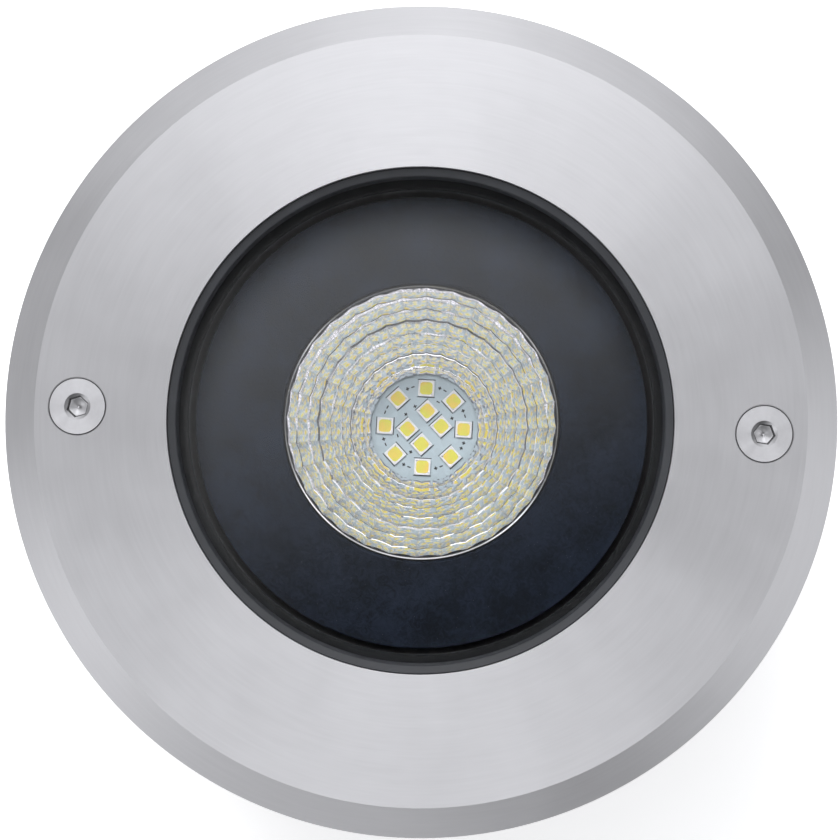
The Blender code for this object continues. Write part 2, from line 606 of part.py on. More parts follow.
def build_housing(material, luminaire):
    """The cast housing: screw flange, stepped barrel, cooling fins and a floor with threaded entries."""
    shoulder = LEDGE_TOP - LEDGE_DEPTH
    outside = [
        (CHAMBER_RADIUS + CHAMBER_WALL, HOUSING_BOTTOM, 0),
        (CHAMBER_RADIUS + CHAMBER_WALL, shoulder - HOUSING_WALL, 0),
        (BORE_RADIUS + HOUSING_WALL, shoulder, 0),
        (BORE_RADIUS + HOUSING_WALL, FLANGE_BOTTOM, 0),
        (HOUSING_FLANGE_RADIUS, FLANGE_BOTTOM, 0),
        (HOUSING_FLANGE_RADIUS, FLANGE_TOP, 0),
    ]
    housing = piece("housing", stacked(outside, ROUND_MEDIUM), material, luminaire)
    tip = HOUSING_FLANGE_RADIUS - FIN_INSET
    fin_top = FLANGE_BOTTOM - FIN_TOP_DROP
    fin = block((0, -FIN_THICKNESS / 2, HOUSING_BOTTOM), (tip - CHAMBER_RADIUS, FIN_THICKNESS / 2, fin_top))
    fins = []
    for place in on_circle(CHAMBER_RADIUS, FIN_COUNT):
        fins.append(moved(fin.copy(), place))
    fin.free()
    shaped_by(housing, gathered(fins), "UNION")
    inside = [
        (CHAMBER_RADIUS, FLOOR_TOP, 0),
        (CHAMBER_RADIUS, LEDGE_TOP, 0),
        (BORE_RADIUS, LEDGE_TOP, 0),
        (BORE_RADIUS, FLANGE_TOP + OVERRUN, 0),
    ]
    shaped_by(housing, stacked(inside, ROUND_MEDIUM), "DIFFERENCE")
    cuts = []
    for place in on_circle(RING_PILLAR_CIRCLE, RING_PILLAR_COUNT, RING_PILLAR_TURN):
        hole = rod(SCREW_M4_RADIUS + GAP, FLANGE_BOTTOM - OVERRUN, FLANGE_TOP + OVERRUN, ROUND_HOLE)
        cuts.append(moved(hole, place))
    low = SPREADER_TOP - SPREADER_SCREW_LENGTH - GAP
    for place in spreader_screw_places():
        cuts.append(moved(rod(SCREW_M4_RADIUS + GAP, low, LEDGE_TOP + OVERRUN, ROUND_HOLE), place))
    floor_low = HOUSING_BOTTOM - OVERRUN
    floor_high = FLOOR_TOP + OVERRUN
    cuts.append(moved(rod(GLAND_BORE_RADIUS, floor_low, floor_high), gland_place()))
    cuts.append(moved(rod(VENT_BORE_RADIUS, floor_low, floor_high), vent_place()))
    low = FLOOR_TOP - THREAD_GRIP_M3
    for place in driver_screw_places():
        cuts.append(moved(rod(SCREW_M3_RADIUS + GAP, low, floor_high, ROUND_HOLE), place))
    cuts.append(moved(rod(SCREW_M3_RADIUS + GAP, low, floor_high, ROUND_HOLE), terminal_place()))
    shaped_by(housing, gathered(cuts), "DIFFERENCE")


def spreader_screw_places():
    """Screws that hold the heat spreader down on the housing's ledge, between the plate's pillars."""
    turn = PLATE_PILLAR_TURN + math.tau / PLATE_PILLAR_COUNT / 2
    return on_circle(SPREADER_SCREW_CIRCLE, PLATE_PILLAR_COUNT, turn)


def driver_screw_places():
    """The two screws through the driver's ears."""
    reach = DRIVER_LENGTH / 2 + DRIVER_EAR / 2
    return [Matrix.Translation((side * reach, DRIVER_CENTRE_Y, 0)) for side in (1, -1)]


def terminal_place():
    """The middle of the terminal block."""
    return Matrix.Translation((TERMINAL_CENTRE_X, TERMINAL_CENTRE_Y, 0))


def gland_place():
    """The gland's middle, under the open part of the lower chamber."""
    return Matrix.Translation((0, GLAND_CENTRE_Y, 0))


def vent_place():
    """The vent's middle, beside the gland."""
    return Matrix.Translation((VENT_CENTRE_X, TERMINAL_CENTRE_Y, 0))


def build_flange_screws(material, luminaire):
    """Six screws that clamp the housing, gasket and glass up against the face ring."""
    flip = Matrix.Translation((0, 0, FLANGE_BOTTOM - GAP)) @ Matrix.Rotation(math.pi, 4, "X")
    places = on_circle(RING_PILLAR_CIRCLE, RING_PILLAR_COUNT, RING_PILLAR_TURN)
    for number, place in enumerate(places, 1):
        screw = moved(screw_m4(FLANGE_SCREW_LENGTH), place @ flip)
        piece(f"flange_screw_{number}", screw, material, luminaire)


def build_reflector_plate(material, luminaire):
    """The black plate that fills the space between the reflector and the housing, on three pillars."""
    rings = [
        (RIM_RADIUS + REFLECTOR_WALL + GAP, PLATE_BOTTOM, 0),
        (PLATE_RADIUS, PLATE_BOTTOM, 0),
        (PLATE_RADIUS, PLATE_TOP, 0),
        (RIM_RADIUS + REFLECTOR_WALL + GAP, PLATE_TOP, 0),
    ]
    plate = piece("reflector_plate", stacked(rings, ROUND_MEDIUM, hollow=True), material, luminaire)
    foot = SPREADER_TOP + GAP
    places = on_circle(PLATE_PILLAR_CIRCLE, PLATE_PILLAR_COUNT, PLATE_PILLAR_TURN)
    pillar_high = PLATE_BOTTOM + OVERRUN
    pillars = [moved(rod(PLATE_PILLAR_RADIUS, foot, pillar_high, ROUND_TINY), place) for place in places]
    shaped_by(plate, gathered(pillars), "UNION")
    thread_top = SPREADER_BOTTOM + PLATE_SCREW_LENGTH
    hole_low = foot - OVERRUN
    holes = [moved(rod(SCREW_M3_RADIUS + GAP, hole_low, thread_top, ROUND_HOLE), place) for place in places]
    shaped_by(plate, gathered(holes), "DIFFERENCE")


def build_plate_screws(material, luminaire):
    """Three screws from below that hold the plate's pillars to the heat spreader."""
    flip = Matrix.Translation((0, 0, SPREADER_BOTTOM - GAP)) @ Matrix.Rotation(math.pi, 4, "X")
    places = on_circle(PLATE_PILLAR_CIRCLE, PLATE_PILLAR_COUNT, PLATE_PILLAR_TURN)
    for number, place in enumerate(places, 1):
        piece(f"plate_screw_{number}", moved(screw_m3(PLATE_SCREW_LENGTH), place @ flip), material, luminaire)


def reflector_height(share):
    """Height of the reflecting face, a parabola of revolution, at a share of the way out to the rim."""
    radius = WINDOW_RADIUS + REFLECTOR_REACH * share
    rise = (radius ** 2 - WINDOW_RADIUS ** 2) / (RIM_RADIUS ** 2 - WINDOW_RADIUS ** 2)
    return WINDOW_HEIGHT + REFLECTOR_DEPTH * rise


def build_reflector(material, luminaire):
    """The faceted mirror cup in three stepped tiers, held between the plate above and the board below."""
    face = []
    for tier in TIER_ROW_SHARES:
        for share in tier:
            face.append((WINDOW_RADIUS + REFLECTOR_REACH * share, reflector_height(share), 0))
    back = [(radius + REFLECTOR_WALL, height, 0) for radius, height, sides in reversed(face)]
    flange_top = PLATE_BOTTOM - GAP
    flange_bottom = flange_top - REFLECTOR_FLANGE_THICKNESS
    below_flange = [ring for ring in back if ring[1] < flange_bottom - REFLECTOR_WALL]
    flange = [
        (RIM_RADIUS + REFLECTOR_WALL, flange_bottom, 0),
        (REFLECTOR_FLANGE_RADIUS, flange_bottom, 0),
        (REFLECTOR_FLANGE_RADIUS, flange_top, 0),
        (RIM_RADIUS + REFLECTOR_WALL, flange_top, 0),
    ]
    foot = BOARD_TOP + GAP
    outer = [(WINDOW_RADIUS, foot, 0), (WINDOW_RADIUS + REFLECTOR_WALL, foot, 0)]
    outer += below_flange[::2] + flange + [back[-1]]
    piece("reflector", stacked(face + outer, REFLECTOR_COLUMNS, hollow=True), material, luminaire)


def build_board(material, luminaire):
    """The round circuit board, with its two screw holes."""
    board = piece("led_board", rod(BOARD_RADIUS, BOARD_BOTTOM, BOARD_TOP, ROUND_MEDIUM), material, luminaire)
    holes = []
    low = BOARD_BOTTOM - OVERRUN
    for place in on_circle(BOARD_SCREW_CIRCLE, 2, CLUSTER_TURN):
        holes.append(moved(rod(SCREW_M3_RADIUS + GAP, low, BOARD_TOP + OVERRUN, ROUND_HOLE), place))
    shaped_by(board, gathered(holes), "DIFFERENCE")


def led_places():
    """Eight light sources on a ring, each turned to face outwards, and four in two pairs inside it."""
    places = on_circle(LED_RING_RADIUS, LED_RING_COUNT, CLUSTER_TURN)
    turn = Matrix.Rotation(CLUSTER_TURN + math.tau / 8, 4, "Z")
    for along in (1, -1):
        for across in (1, -1):
            offset = (along * GROUP_STEP / 2, across * PAIR_STEP / 2, 0)
            places.append(turn @ Matrix.Translation(offset))
    return places


def build_leds(material, luminaire):
    """The surface-mounted light sources, a little above the board."""
    low = BOARD_TOP + GAP
    for number, place in enumerate(led_places(), 1):
        rings = [
            (LED_SIZE / 2, low, 4),
            (LED_SIZE / 2, low + LED_HEIGHT - LED_BEVEL - GAP, 4),
            (LED_SIZE / 2 - LED_BEVEL, low + LED_HEIGHT - GAP, 4),
        ]
        shape = stacked(rings, 8)
        piece(f"led_{number}", moved(shape, place), material, luminaire)


def build_board_screws(material, luminaire):
    """Two screws that hold the board on the heat spreader."""
    seat = Matrix.Translation((0, 0, BOARD_TOP + GAP))
    for side, place in zip(("right", "left"), on_circle(BOARD_SCREW_CIRCLE, 2, CLUSTER_TURN)):
        piece(f"board_screw_{side}", moved(screw_m3(BOARD_SCREW_LENGTH), place @ seat), material, luminaire)


def wire_hole_place():
    """Where the leads pass up through the heat spreader, outside the board."""
    radius = (BOARD_RADIUS + REFLECTOR_FLANGE_RADIUS) / 2
    return Matrix.Rotation(WIRE_HOLE_ANGLE, 4, "Z") @ Matrix.Translation((radius, 0, 0))


def build_spreader(material, luminaire):
    """The aluminium disc that carries the board and takes its heat to the housing."""
    shape = rod(SPREADER_RADIUS, SPREADER_BOTTOM, SPREADER_TOP, ROUND_MEDIUM)
    spreader = piece("heat_spreader", shape, material, luminaire)
    low = SPREADER_BOTTOM - OVERRUN
    high = SPREADER_TOP + OVERRUN
    holes = []
    for place in spreader_screw_places():
        holes.append(moved(rod(SCREW_M4_RADIUS + GAP, low, high, ROUND_HOLE), place))
    for place in on_circle(PLATE_PILLAR_CIRCLE, PLATE_PILLAR_COUNT, PLATE_PILLAR_TURN):
        holes.append(moved(rod(SCREW_M3_RADIUS + GAP, low, high, ROUND_HOLE), place))
    tapped_bottom = BOARD_TOP - BOARD_SCREW_LENGTH
    for place in on_circle(BOARD_SCREW_CIRCLE, 2, CLUSTER_TURN):
        holes.append(moved(rod(SCREW_M3_RADIUS + GAP, tapped_bottom, high, ROUND_HOLE), place))
    holes.append(moved(rod(WIRE_HOLE_RADIUS, low, high, ROUND_HOLE), wire_hole_place()))
    shaped_by(spreader, gathered(holes), "DIFFERENCE")


def build_spreader_screws(material, luminaire):
    """Three screws that hold the heat spreader down."""
    seat = Matrix.Translation((0, 0, SPREADER_TOP + GAP))
    for number, place in enumerate(spreader_screw_places(), 1):
        screw = moved(screw_m4(SPREADER_SCREW_LENGTH), place @ seat)
        piece(f"spreader_screw_{number}", screw, material, luminaire)


def build_driver(material, screw_material, luminaire):
    """The potted driver, its mounting ears and their screws."""
    low = FLOOR_TOP + GAP
    shape = block(
        (-DRIVER_LENGTH / 2, DRIVER_CENTRE_Y - DRIVER_WIDTH / 2, low),
        (DRIVER_LENGTH / 2, DRIVER_CENTRE_Y + DRIVER_WIDTH / 2, low + DRIVER_HEIGHT),
    )
    driver = piece("driver", shape, material, luminaire)
    ear_half = DRIVER_EAR / 2
    reach = DRIVER_LENGTH / 2 + DRIVER_EAR
    ears = []
    for start, end in ((-reach, -DRIVER_LENGTH / 2 + OVERRUN), (DRIVER_LENGTH / 2 - OVERRUN, reach)):
        corner = (start, DRIVER_CENTRE_Y - ear_half, low)
        ears.append(block(corner, (end, DRIVER_CENTRE_Y + ear_half, low + DRIVER_EAR_THICKNESS)))
    shaped_by(driver, gathered(ears), "UNION")
    holes = []
    for place in driver_screw_places():
        hole = rod(SCREW_M3_RADIUS + GAP, low - OVERRUN, low + DRIVER_EAR_THICKNESS + OVERRUN, ROUND_HOLE)
        holes.append(moved(hole, place))
    shaped_by(driver, gathered(holes), "DIFFERENCE")
    seat = Matrix.Translation((0, 0, low + DRIVER_EAR_THICKNESS + GAP))
    for side, place in zip(("right", "left"), driver_screw_places()):
        screw = moved(screw_m3(DRIVER_SCREW_LENGTH), place @ seat)
        piece(f"driver_screw_{side}", screw, screw_material, luminaire)


def build_terminal(material, screw_material, luminaire):
    """The two-pole terminal block for the supply cable, with its screw."""
    low = FLOOR_TOP + GAP
    high = low + TERMINAL_HEIGHT
    half_width = TERMINAL_WIDTH / 2
    shape = block((-half_width, -TERMINAL_LENGTH / 2, low), (half_width, TERMINAL_LENGTH / 2, high))
    terminal = piece("terminal_block", moved(shape, terminal_place()), material, luminaire)
    holes = [rod(SCREW_M3_RADIUS + GAP, low - OVERRUN, high + OVERRUN, ROUND_HOLE)]
    across = Matrix.Rotation(math.tau / 4, 4, "Y")
    for side in (1, -1):
        pole = rod(TERMINAL_BORE_RADIUS, -half_width - OVERRUN, half_width + OVERRUN, ROUND_HOLE)
        middle = Matrix.Translation((0, side * TERMINAL_POLE_SPACING / 2, (low + high) / 2))
        holes.append(moved(pole, middle @ across))
    shaped_by(terminal, moved(gathered(holes), terminal_place()), "DIFFERENCE")
    seat = Matrix.Translation((0, 0, high + GAP))
    shape = moved(screw_m3(TERMINAL_SCREW_LENGTH), terminal_place() @ seat)
    piece("terminal_screw", shape, screw_material, luminaire)


def smooth_route(points):
    """Points of a smooth curve through the route's own points."""
    points = [Vector(point) for point in points]
    ends = [points[0] * 2 - points[1]] + points + [points[-1] * 2 - points[-2]]
    route = []
    for before, start, end, after in zip(ends, ends[1:], ends[2:], ends[3:]):
        for step in range(LEAD_STEPS):
            share = step / LEAD_STEPS
            bend = (before * 2 - start * 5 + end * 4 - after) * share ** 2
            twist = (start * 3 - before - end * 3 + after) * share ** 3
            route.append((start * 2 + (end - before) * share + bend + twist) / 2)
    route.append(points[-1])
    return route


def lead(name, points, material, luminaire):
    """An insulated wire along a smooth route."""
    route = smooth_route(points)
    curve = bpy.data.curves.new(name, "CURVE")
    curve.dimensions = "3D"
    curve.bevel_depth = LEAD_RADIUS
    curve.bevel_resolution = 2
    curve.use_fill_caps = True
    spline = curve.splines.new("POLY")
    spline.points.add(len(route) - 1)
    for point, place in zip(spline.points, route):
        point.co = (*place, 1.0)
    curve.materials.append(material)
    thing = bpy.data.objects.new(name, curve)
    thing.parent = luminaire
    bpy.context.scene.collection.objects.link(thing)


def build_leads(live, neutral, luminaire):
    """Leads from the driver up to the board, and from the terminal block to the driver."""
    hole = wire_hole_place().to_translation()
    board_level = BOARD_TOP + GAP + LEAD_RADIUS
    driver_top = FLOOR_TOP + GAP + DRIVER_HEIGHT + GAP
    inwards = -hole.normalized()
    for name, material, side in (("led_lead_red", live, 1), ("led_lead_black", neutral, -1)):
        shift = Vector((-inwards.y, inwards.x, 0)) * (side * LEAD_SPACING / 2)
        through = hole + shift
        pad = -inwards * (BOARD_RADIUS - LEAD_PAD_INSET) + shift
        crest = (through * 2 + pad) / 3
        points = [
            Vector((through.x, through.y, driver_top)),
            Vector((through.x, through.y, SPREADER_BOTTOM)),
            Vector((through.x, through.y, SPREADER_TOP)),
            Vector((crest.x, crest.y, board_level + LEAD_SPACING / 2)),
            Vector((pad.x, pad.y, board_level)),
        ]
        lead(name, points, material, luminaire)
    terminal_level = FLOOR_TOP + GAP + TERMINAL_HEIGHT / 2
    start_x = TERMINAL_CENTRE_X - TERMINAL_WIDTH / 2
    for name, material, side in (("mains_lead_brown", live, 1), ("mains_lead_blue", neutral, -1)):
        pole_y = TERMINAL_CENTRE_Y + side * TERMINAL_POLE_SPACING / 2
        run_x = start_x - (2 - side) * LEAD_SPACING
        end_y = DRIVER_CENTRE_Y - DRIVER_WIDTH / 2 - GAP
        points = [
            Vector((start_x + TERMINAL_WIDTH / 4, pole_y, terminal_level)),
            Vector((start_x - LEAD_SPACING / 2, pole_y, terminal_level)),
            Vector((run_x, pole_y + LEAD_SPACING, terminal_level)),
            Vector((run_x, end_y, terminal_level)),
        ]
        lead(name, points, material, luminaire)


def build_gland(body_material, seal_material, luminaire):
    """The cable gland under the housing: washer, body, rubber seal and dome nut, with no cable in it."""
    place = gland_place()
    bore = GLAND_SEAL_RADIUS + GAP
    washer = [
        (GLAND_BORE_RADIUS, HOUSING_BOTTOM - GAP - GLAND_WASHER_HEIGHT, 0),
        (GLAND_BORE_RADIUS + GLAND_WASHER_WIDTH, HOUSING_BOTTOM - GAP - GLAND_WASHER_HEIGHT, 0),
        (GLAND_BORE_RADIUS + GLAND_WASHER_WIDTH, HOUSING_BOTTOM - GAP, 0),
        (GLAND_BORE_RADIUS, HOUSING_BOTTOM - GAP, 0),
    ]
    piece("gland_washer", moved(stacked(washer, ROUND_SMALL, hollow=True), place), seal_material, luminaire)
    body = [
        (GLAND_BORE_RADIUS - GAP, FLOOR_TOP, 0),
        (GLAND_BORE_RADIUS - GAP, GLAND_FLANGE_TOP, 0),
        (GLAND_ACROSS_FLATS / 2, GLAND_FLANGE_TOP, 6),
        (GLAND_ACROSS_FLATS / 2, GLAND_BARREL_TOP, 6),
        (GLAND_BARREL_RADIUS, GLAND_BARREL_TOP, 0),
        (GLAND_BARREL_RADIUS, GLAND_BARREL_BOTTOM, 0),
        (bore, GLAND_BARREL_BOTTOM, 0),
        (bore, GLAND_BARREL_BOTTOM + GLAND_SEAL_HEIGHT + GAP, 0),
        (GLAND_CABLE_RADIUS + GAP, GLAND_BARREL_BOTTOM + GLAND_SEAL_HEIGHT + GAP, 0),
        (GLAND_CABLE_RADIUS + GAP, FLOOR_TOP, 0),
    ]
    piece("gland_body", moved(stacked(body, ROUND_SMALL, hollow=True), place), body_material, luminaire)
    seal = [
        (GLAND_CABLE_RADIUS, GLAND_BARREL_BOTTOM, 0),
        (GLAND_SEAL_RADIUS, GLAND_BARREL_BOTTOM, 0),
        (GLAND_SEAL_RADIUS, GLAND_BARREL_BOTTOM + GLAND_SEAL_HEIGHT, 0),
        (GLAND_CABLE_RADIUS, GLAND_BARREL_BOTTOM + GLAND_SEAL_HEIGHT, 0),
    ]
    piece("gland_seal", moved(stacked(seal, ROUND_SMALL, hollow=True), place), seal_material, luminaire)
    nut = [
        (GLAND_CABLE_RADIUS + GAP, GLAND_BOTTOM, 0),
        (GLAND_BARREL_RADIUS, GLAND_BOTTOM, 0),
        (GLAND_ACROSS_FLATS / 2, GLAND_BOTTOM + GLAND_NUT_END, 6),
        (GLAND_ACROSS_FLATS / 2, GLAND_BARREL_TOP - GAP, 6),
        (GLAND_BARREL_RADIUS + GAP, GLAND_BARREL_TOP - GAP, 0),
        (GLAND_BARREL_RADIUS + GAP, GLAND_BARREL_BOTTOM - GAP, 0),
        (GLAND_CABLE_RADIUS + GAP, GLAND_BARREL_BOTTOM - GAP, 0),
    ]
    piece("gland_nut", moved(stacked(nut, ROUND_SMALL, hollow=True), place), body_material, luminaire)


def build_vent(material, luminaire):
    """The pressure-equalising vent plug in the housing's floor."""
    head_top = HOUSING_BOTTOM - GAP
    rings = [
        (VENT_HEAD_RADIUS, head_top - VENT_HEAD_HEIGHT, 0),
        (VENT_HEAD_RADIUS, head_top, 0),
        (VENT_BORE_RADIUS - GAP, head_top, 0),
        (VENT_BORE_RADIUS - GAP, FLOOR_TOP, 0),
    ]
    piece("vent_plug", moved(stacked(rings, ROUND_SMALL), vent_place()), material, luminaire)


def build_face_screws(steel, nylon, luminaire):
    """The two countersunk face screws, each with the washer that keeps it captive under the ring."""
    top = RING_HEIGHT - FACE_HEAD_SUNK
    edge = top - FACE_HEAD_EDGE
    cone_bottom = edge - FACE_HEAD_RADIUS + FACE_SCREW_RADIUS
    rings = [
        (FACE_SCREW_RADIUS, FACE_SCREW_END, 0),
        (FACE_SCREW_RADIUS, cone_bottom, 0),
        (FACE_HEAD_RADIUS, edge, 0),
        (FACE_HEAD_RADIUS, top, 0),
        (FACE_KEY / 2 + FACE_KEY_CHAMFER, top, 0),
        (FACE_KEY / 2, top - FACE_KEY_CHAMFER, 6),
        (FACE_KEY / 2, top - FACE_KEY_DEPTH, 6),
    ]
    washer = [
        (FACE_SCREW_RADIUS + GAP, RETAINER_BOTTOM, 0),
        (RETAINER_RADIUS, RETAINER_BOTTOM, 0),
        (RETAINER_RADIUS, RETAINER_TOP, 0),
        (FACE_SCREW_RADIUS + GAP, RETAINER_TOP, 0),
    ]
    for side, sign in (("right", 1), ("left", -1)):
        axis = holder("screw_axis_" + side, (sign * BOSS_CIRCLE, 0, 0), luminaire)
        piece("face_screw_" + side, stacked(rings, ROUND_SMALL), steel, axis)
        piece("screw_retainer_" + side, stacked(washer, ROUND_SMALL, hollow=True), nylon, axis)


def build_light():
    """Builds every piece of the light."""
    clear_scene()
    steel = finish("brushed_steel", (0.56, 0.56, 0.57), 0.32, 1.0)
    bolt_steel = finish("bolt_steel", (0.62, 0.62, 0.62), 0.28, 1.0)
    brass = finish("insert_brass", (0.66, 0.50, 0.25), 0.40, 1.0)
    rubber = finish("gasket_rubber", (0.012, 0.013, 0.015), 0.65, 0.0)
    clear = finish("clear_glass", (0.90, 0.95, 0.93), 0.02, 0.0)
    cast = finish("cast_aluminium", (0.42, 0.43, 0.44), 0.55, 1.0)
    plate = finish("black_plate", (0.025, 0.028, 0.035), 0.55, 0.0)
    mirror = finish("reflector_mirror", (0.88, 0.88, 0.90), 0.08, 1.0)
    board = finish("board_white", (0.58, 0.63, 0.68), 0.45, 0.0)
    phosphor = finish("led_phosphor", (0.85, 0.75, 0.12), 0.40, 0.0)
    spreader = finish("plain_aluminium", (0.60, 0.61, 0.62), 0.40, 1.0)
    potting = finish("driver_case", (0.55, 0.56, 0.57), 0.50, 0.0)
    nylon = finish("nylon", (0.75, 0.74, 0.70), 0.50, 0.0)
    sleeve = finish("sleeve_plastic", (0.020, 0.020, 0.022), 0.60, 0.0)
    live = finish("lead_live", (0.45, 0.05, 0.03), 0.45, 0.0)
    neutral = finish("lead_neutral", (0.02, 0.05, 0.20), 0.45, 0.0)
    build_sleeve(sleeve)
    build_inserts(brass)
    build_blanking_plug(sleeve)
    luminaire = holder("luminaire_lift", (0, 0, GROUND_HEIGHT))
    build_face_ring(steel, luminaire)
    build_glass(clear, luminaire)
    build_gasket(rubber, luminaire)
    build_housing(cast, luminaire)
    build_flange_screws(bolt_steel, luminaire)
    build_reflector_plate(plate, luminaire)
    build_plate_screws(bolt_steel, luminaire)
    build_reflector(mirror, luminaire)
    build_board(board, luminaire)
    build_leds(phosphor, luminaire)
    build_board_screws(bolt_steel, luminaire)
    build_spreader(spreader, luminaire)
    build_spreader_screws(bolt_steel, luminaire)
    build_driver(potting, bolt_steel, luminaire)
    build_terminal(nylon, bolt_steel, luminaire)
    build_leads(live, neutral, luminaire)
    build_gland(sleeve, rubber, luminaire)
    build_vent(sleeve, luminaire)
    build_face_screws(steel, nylon, luminaire)
    bpy.context.view_layer.update()


build_light()
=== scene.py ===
"""Dresses the recessed ground light: fine meshes, finishes, floor, light and camera."""

import json
import math

import bmesh
import bpy
from bpy.props import FloatProperty, FloatVectorProperty, IntProperty, PointerProperty
from mathutils import Matrix, Vector, noise


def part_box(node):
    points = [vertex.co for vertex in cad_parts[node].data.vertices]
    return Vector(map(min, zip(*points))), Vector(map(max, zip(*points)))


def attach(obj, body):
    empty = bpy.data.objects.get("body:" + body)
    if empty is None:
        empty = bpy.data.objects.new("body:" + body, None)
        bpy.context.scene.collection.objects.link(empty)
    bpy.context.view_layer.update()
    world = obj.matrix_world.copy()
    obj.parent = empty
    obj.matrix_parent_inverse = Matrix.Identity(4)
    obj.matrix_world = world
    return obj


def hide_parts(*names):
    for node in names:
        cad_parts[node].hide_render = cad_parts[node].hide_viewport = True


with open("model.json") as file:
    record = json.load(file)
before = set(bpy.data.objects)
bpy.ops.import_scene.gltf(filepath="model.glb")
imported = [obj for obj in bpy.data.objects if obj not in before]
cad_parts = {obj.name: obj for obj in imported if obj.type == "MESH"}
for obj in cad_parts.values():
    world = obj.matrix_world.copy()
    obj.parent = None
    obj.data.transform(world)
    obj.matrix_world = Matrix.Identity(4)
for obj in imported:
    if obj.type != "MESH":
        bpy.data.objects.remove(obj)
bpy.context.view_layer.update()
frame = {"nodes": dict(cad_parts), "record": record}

bl_info = {
    "name": "Recessed ground light",
    "version": (1, 0, 0),
    "blender": (4, 5, 0),
    "location": "3D View > Sidebar > Ground light",
    "description": "Models and finishes a recessed ground light round its packed frame",
    "category": "Object",
}

MERGE = 0.000002
CREASE, GASKET_CREASE, HOUSING_CREASE = (math.radians(angle) for angle in (28, 40, 20))
LEVEL = 0.99999
FLAT_FACE_WEIGHT = 100

# Steps round a turned piece, from the face ring down to holes
RING_STEPS, GLASS_STEPS, BODY_STEPS, SMALL_STEPS, BOLT_STEPS, HOLE_STEPS = 288, 256, 192, 96, 72, 48
BOARD_STEPS, HEXAGON_STEPS, WASHER_STEPS, THREAD_STEPS, ARC_STEPS = 128, 120, 64, 24, 12

# Heights of the finishes' fine relief
FAINT_RELIEF, FINE_RELIEF, MOULDED_RELIEF = 0.00001, 0.00002, 0.00003
TURNED_RELIEF, COARSE_RELIEF, CAST_RELIEF, CREASED_RELIEF = 0.00004, 0.00005, 0.00006, 0.00034


def length(name, description, default):
    """A size in metres."""
    return FloatProperty(name=name, description=description, default=default, unit="LENGTH", precision=5)


def turn(name, description, degrees):
    """An angle, given in degrees."""
    return FloatProperty(name=name, description=description, default=math.radians(degrees), subtype="ANGLE")


def share(name, description, default):
    """A plain number."""
    return FloatProperty(name=name, description=description, default=default)


def count(name, description, default):
    """A whole number."""
    return IntProperty(name=name, description=description, default=default)


def paint(name, description, default):
    """A colour."""
    return FloatVectorProperty(name=name, description=description, default=default, subtype="COLOR", size=3)


class RingSettings(bpy.types.PropertyGroup):
    height: length("Height", "Ground level to the top face", 0.005)
    rim_height: length("Rim height", "Upright part of the outer edge", 0.002)
    chamfer: length("Chamfer", "Width of the sloping outer band in plan", 0.0065)
    opening: length("Opening", "Radius of the opening over the glass", 0.0532)
    lip: length("Lip", "Thickness of the ring over the gasket", 0.003)
    seat: length("Seat", "Radius of the recess over the gasket", 0.0589)
    recess: length("Recess", "Underside above ground level over the sleeve's flange", 0.0015)
    foot: length("Foot", "Inner radius of the face that rests on the ground", 0.0805)
    edge: length("Edge", "Rounding of the edges", 0.0001)
    pillar_circle: length("Pillar circle", "Radius of the circle of threaded pillars", 0.0625)
    pillar_radius: length("Pillar radius", "Radius of each threaded pillar", 0.0035)
    pillar_count: count("Pillars", "Number of threaded pillars", 6)
    pillar_turn: turn("Pillar turn", "Angle of the first pillar", 30)


class ScrewSettings(bpy.types.PropertyGroup):
    circle: length("Circle", "Distance of each face screw from the middle", 0.072)
    head: length("Head", "Radius of the head", 0.00588)
    shank: length("Shank", "Radius of the thread's crest", 0.003)
    core: length("Core", "Radius of the thread's root", 0.00248)
    pitch: length("Pitch", "Rise of the thread in a turn", 0.001)
    edge: length("Edge", "Height of the head's upright edge", 0.00012)
    sunk: length("Sunk", "Top of the head under the ring's face", 0.00012)
    hole: length("Hole", "Radius of the countersink at the ring's face", 0.00621)
    key: length("Key", "Socket across its flats", 0.004)
    mouth: length("Mouth", "Radius of the cone round the socket", 0.0028)
    mouth_slope: share("Mouth slope", "Fall of that cone over its width", 0.6)
    depth: length("Depth", "Depth of the socket", 0.0021)
    floor_cone: length("Floor cone", "Radius of the drilled cone in the socket's floor", 0.0018)
    floor_slope: share("Floor slope", "Fall of the drilled cone over its width", 0.27)
    dimple: length("Dimple", "Radius of the drill point in the cone's middle", 0.0003)
    key_left: turn("Left key", "Turn of the left socket", -11.25)
    key_right: turn("Right key", "Turn of the right socket", 22.5)


class GlassSettings(bpy.types.PropertyGroup):
    bevel: length("Bevel", "Ground edge of the glass", 0.0008)
    bead: length("Bead", "Width of the gasket's bead", 0.0019)
    bead_space: length("Bead space", "Between the bead and the ring", 0.00004)
    nose: length("Nose", "Round of the bead's inner crest", 0.0006)
    nose_steps: count("Nose steps", "Steps round the bead's inner crest", 10)
    fall: share("Fall", "Fall of the bead's land over its width", 0.22)
    leg: length("Leg", "Thickness of the gasket over and under the glass", 0.0009)
    bore: length("Bore", "Radius of the gasket's lower leg", 0.0494)


class PlateSettings(bpy.types.PropertyGroup):
    thickness: length("Thickness", "Thickness of the trim plate", 0.0025)
    hole_gap: length("Hole gap", "Between the reflector's brim and the plate", 0.00036)
    flange_gap: length("Flange gap", "Between the reflector's flange and the plate", 0.00018)
    edge: length("Edge", "Rounding of the plate's edges", 0.0003)
    pillar_circle: length("Pillar circle", "Radius of the circle of pillars", 0.03585)
    pillar_radius: length("Pillar radius", "Radius of each pillar", 0.0035)
    pillar_count: count("Pillars", "Number of pillars", 3)


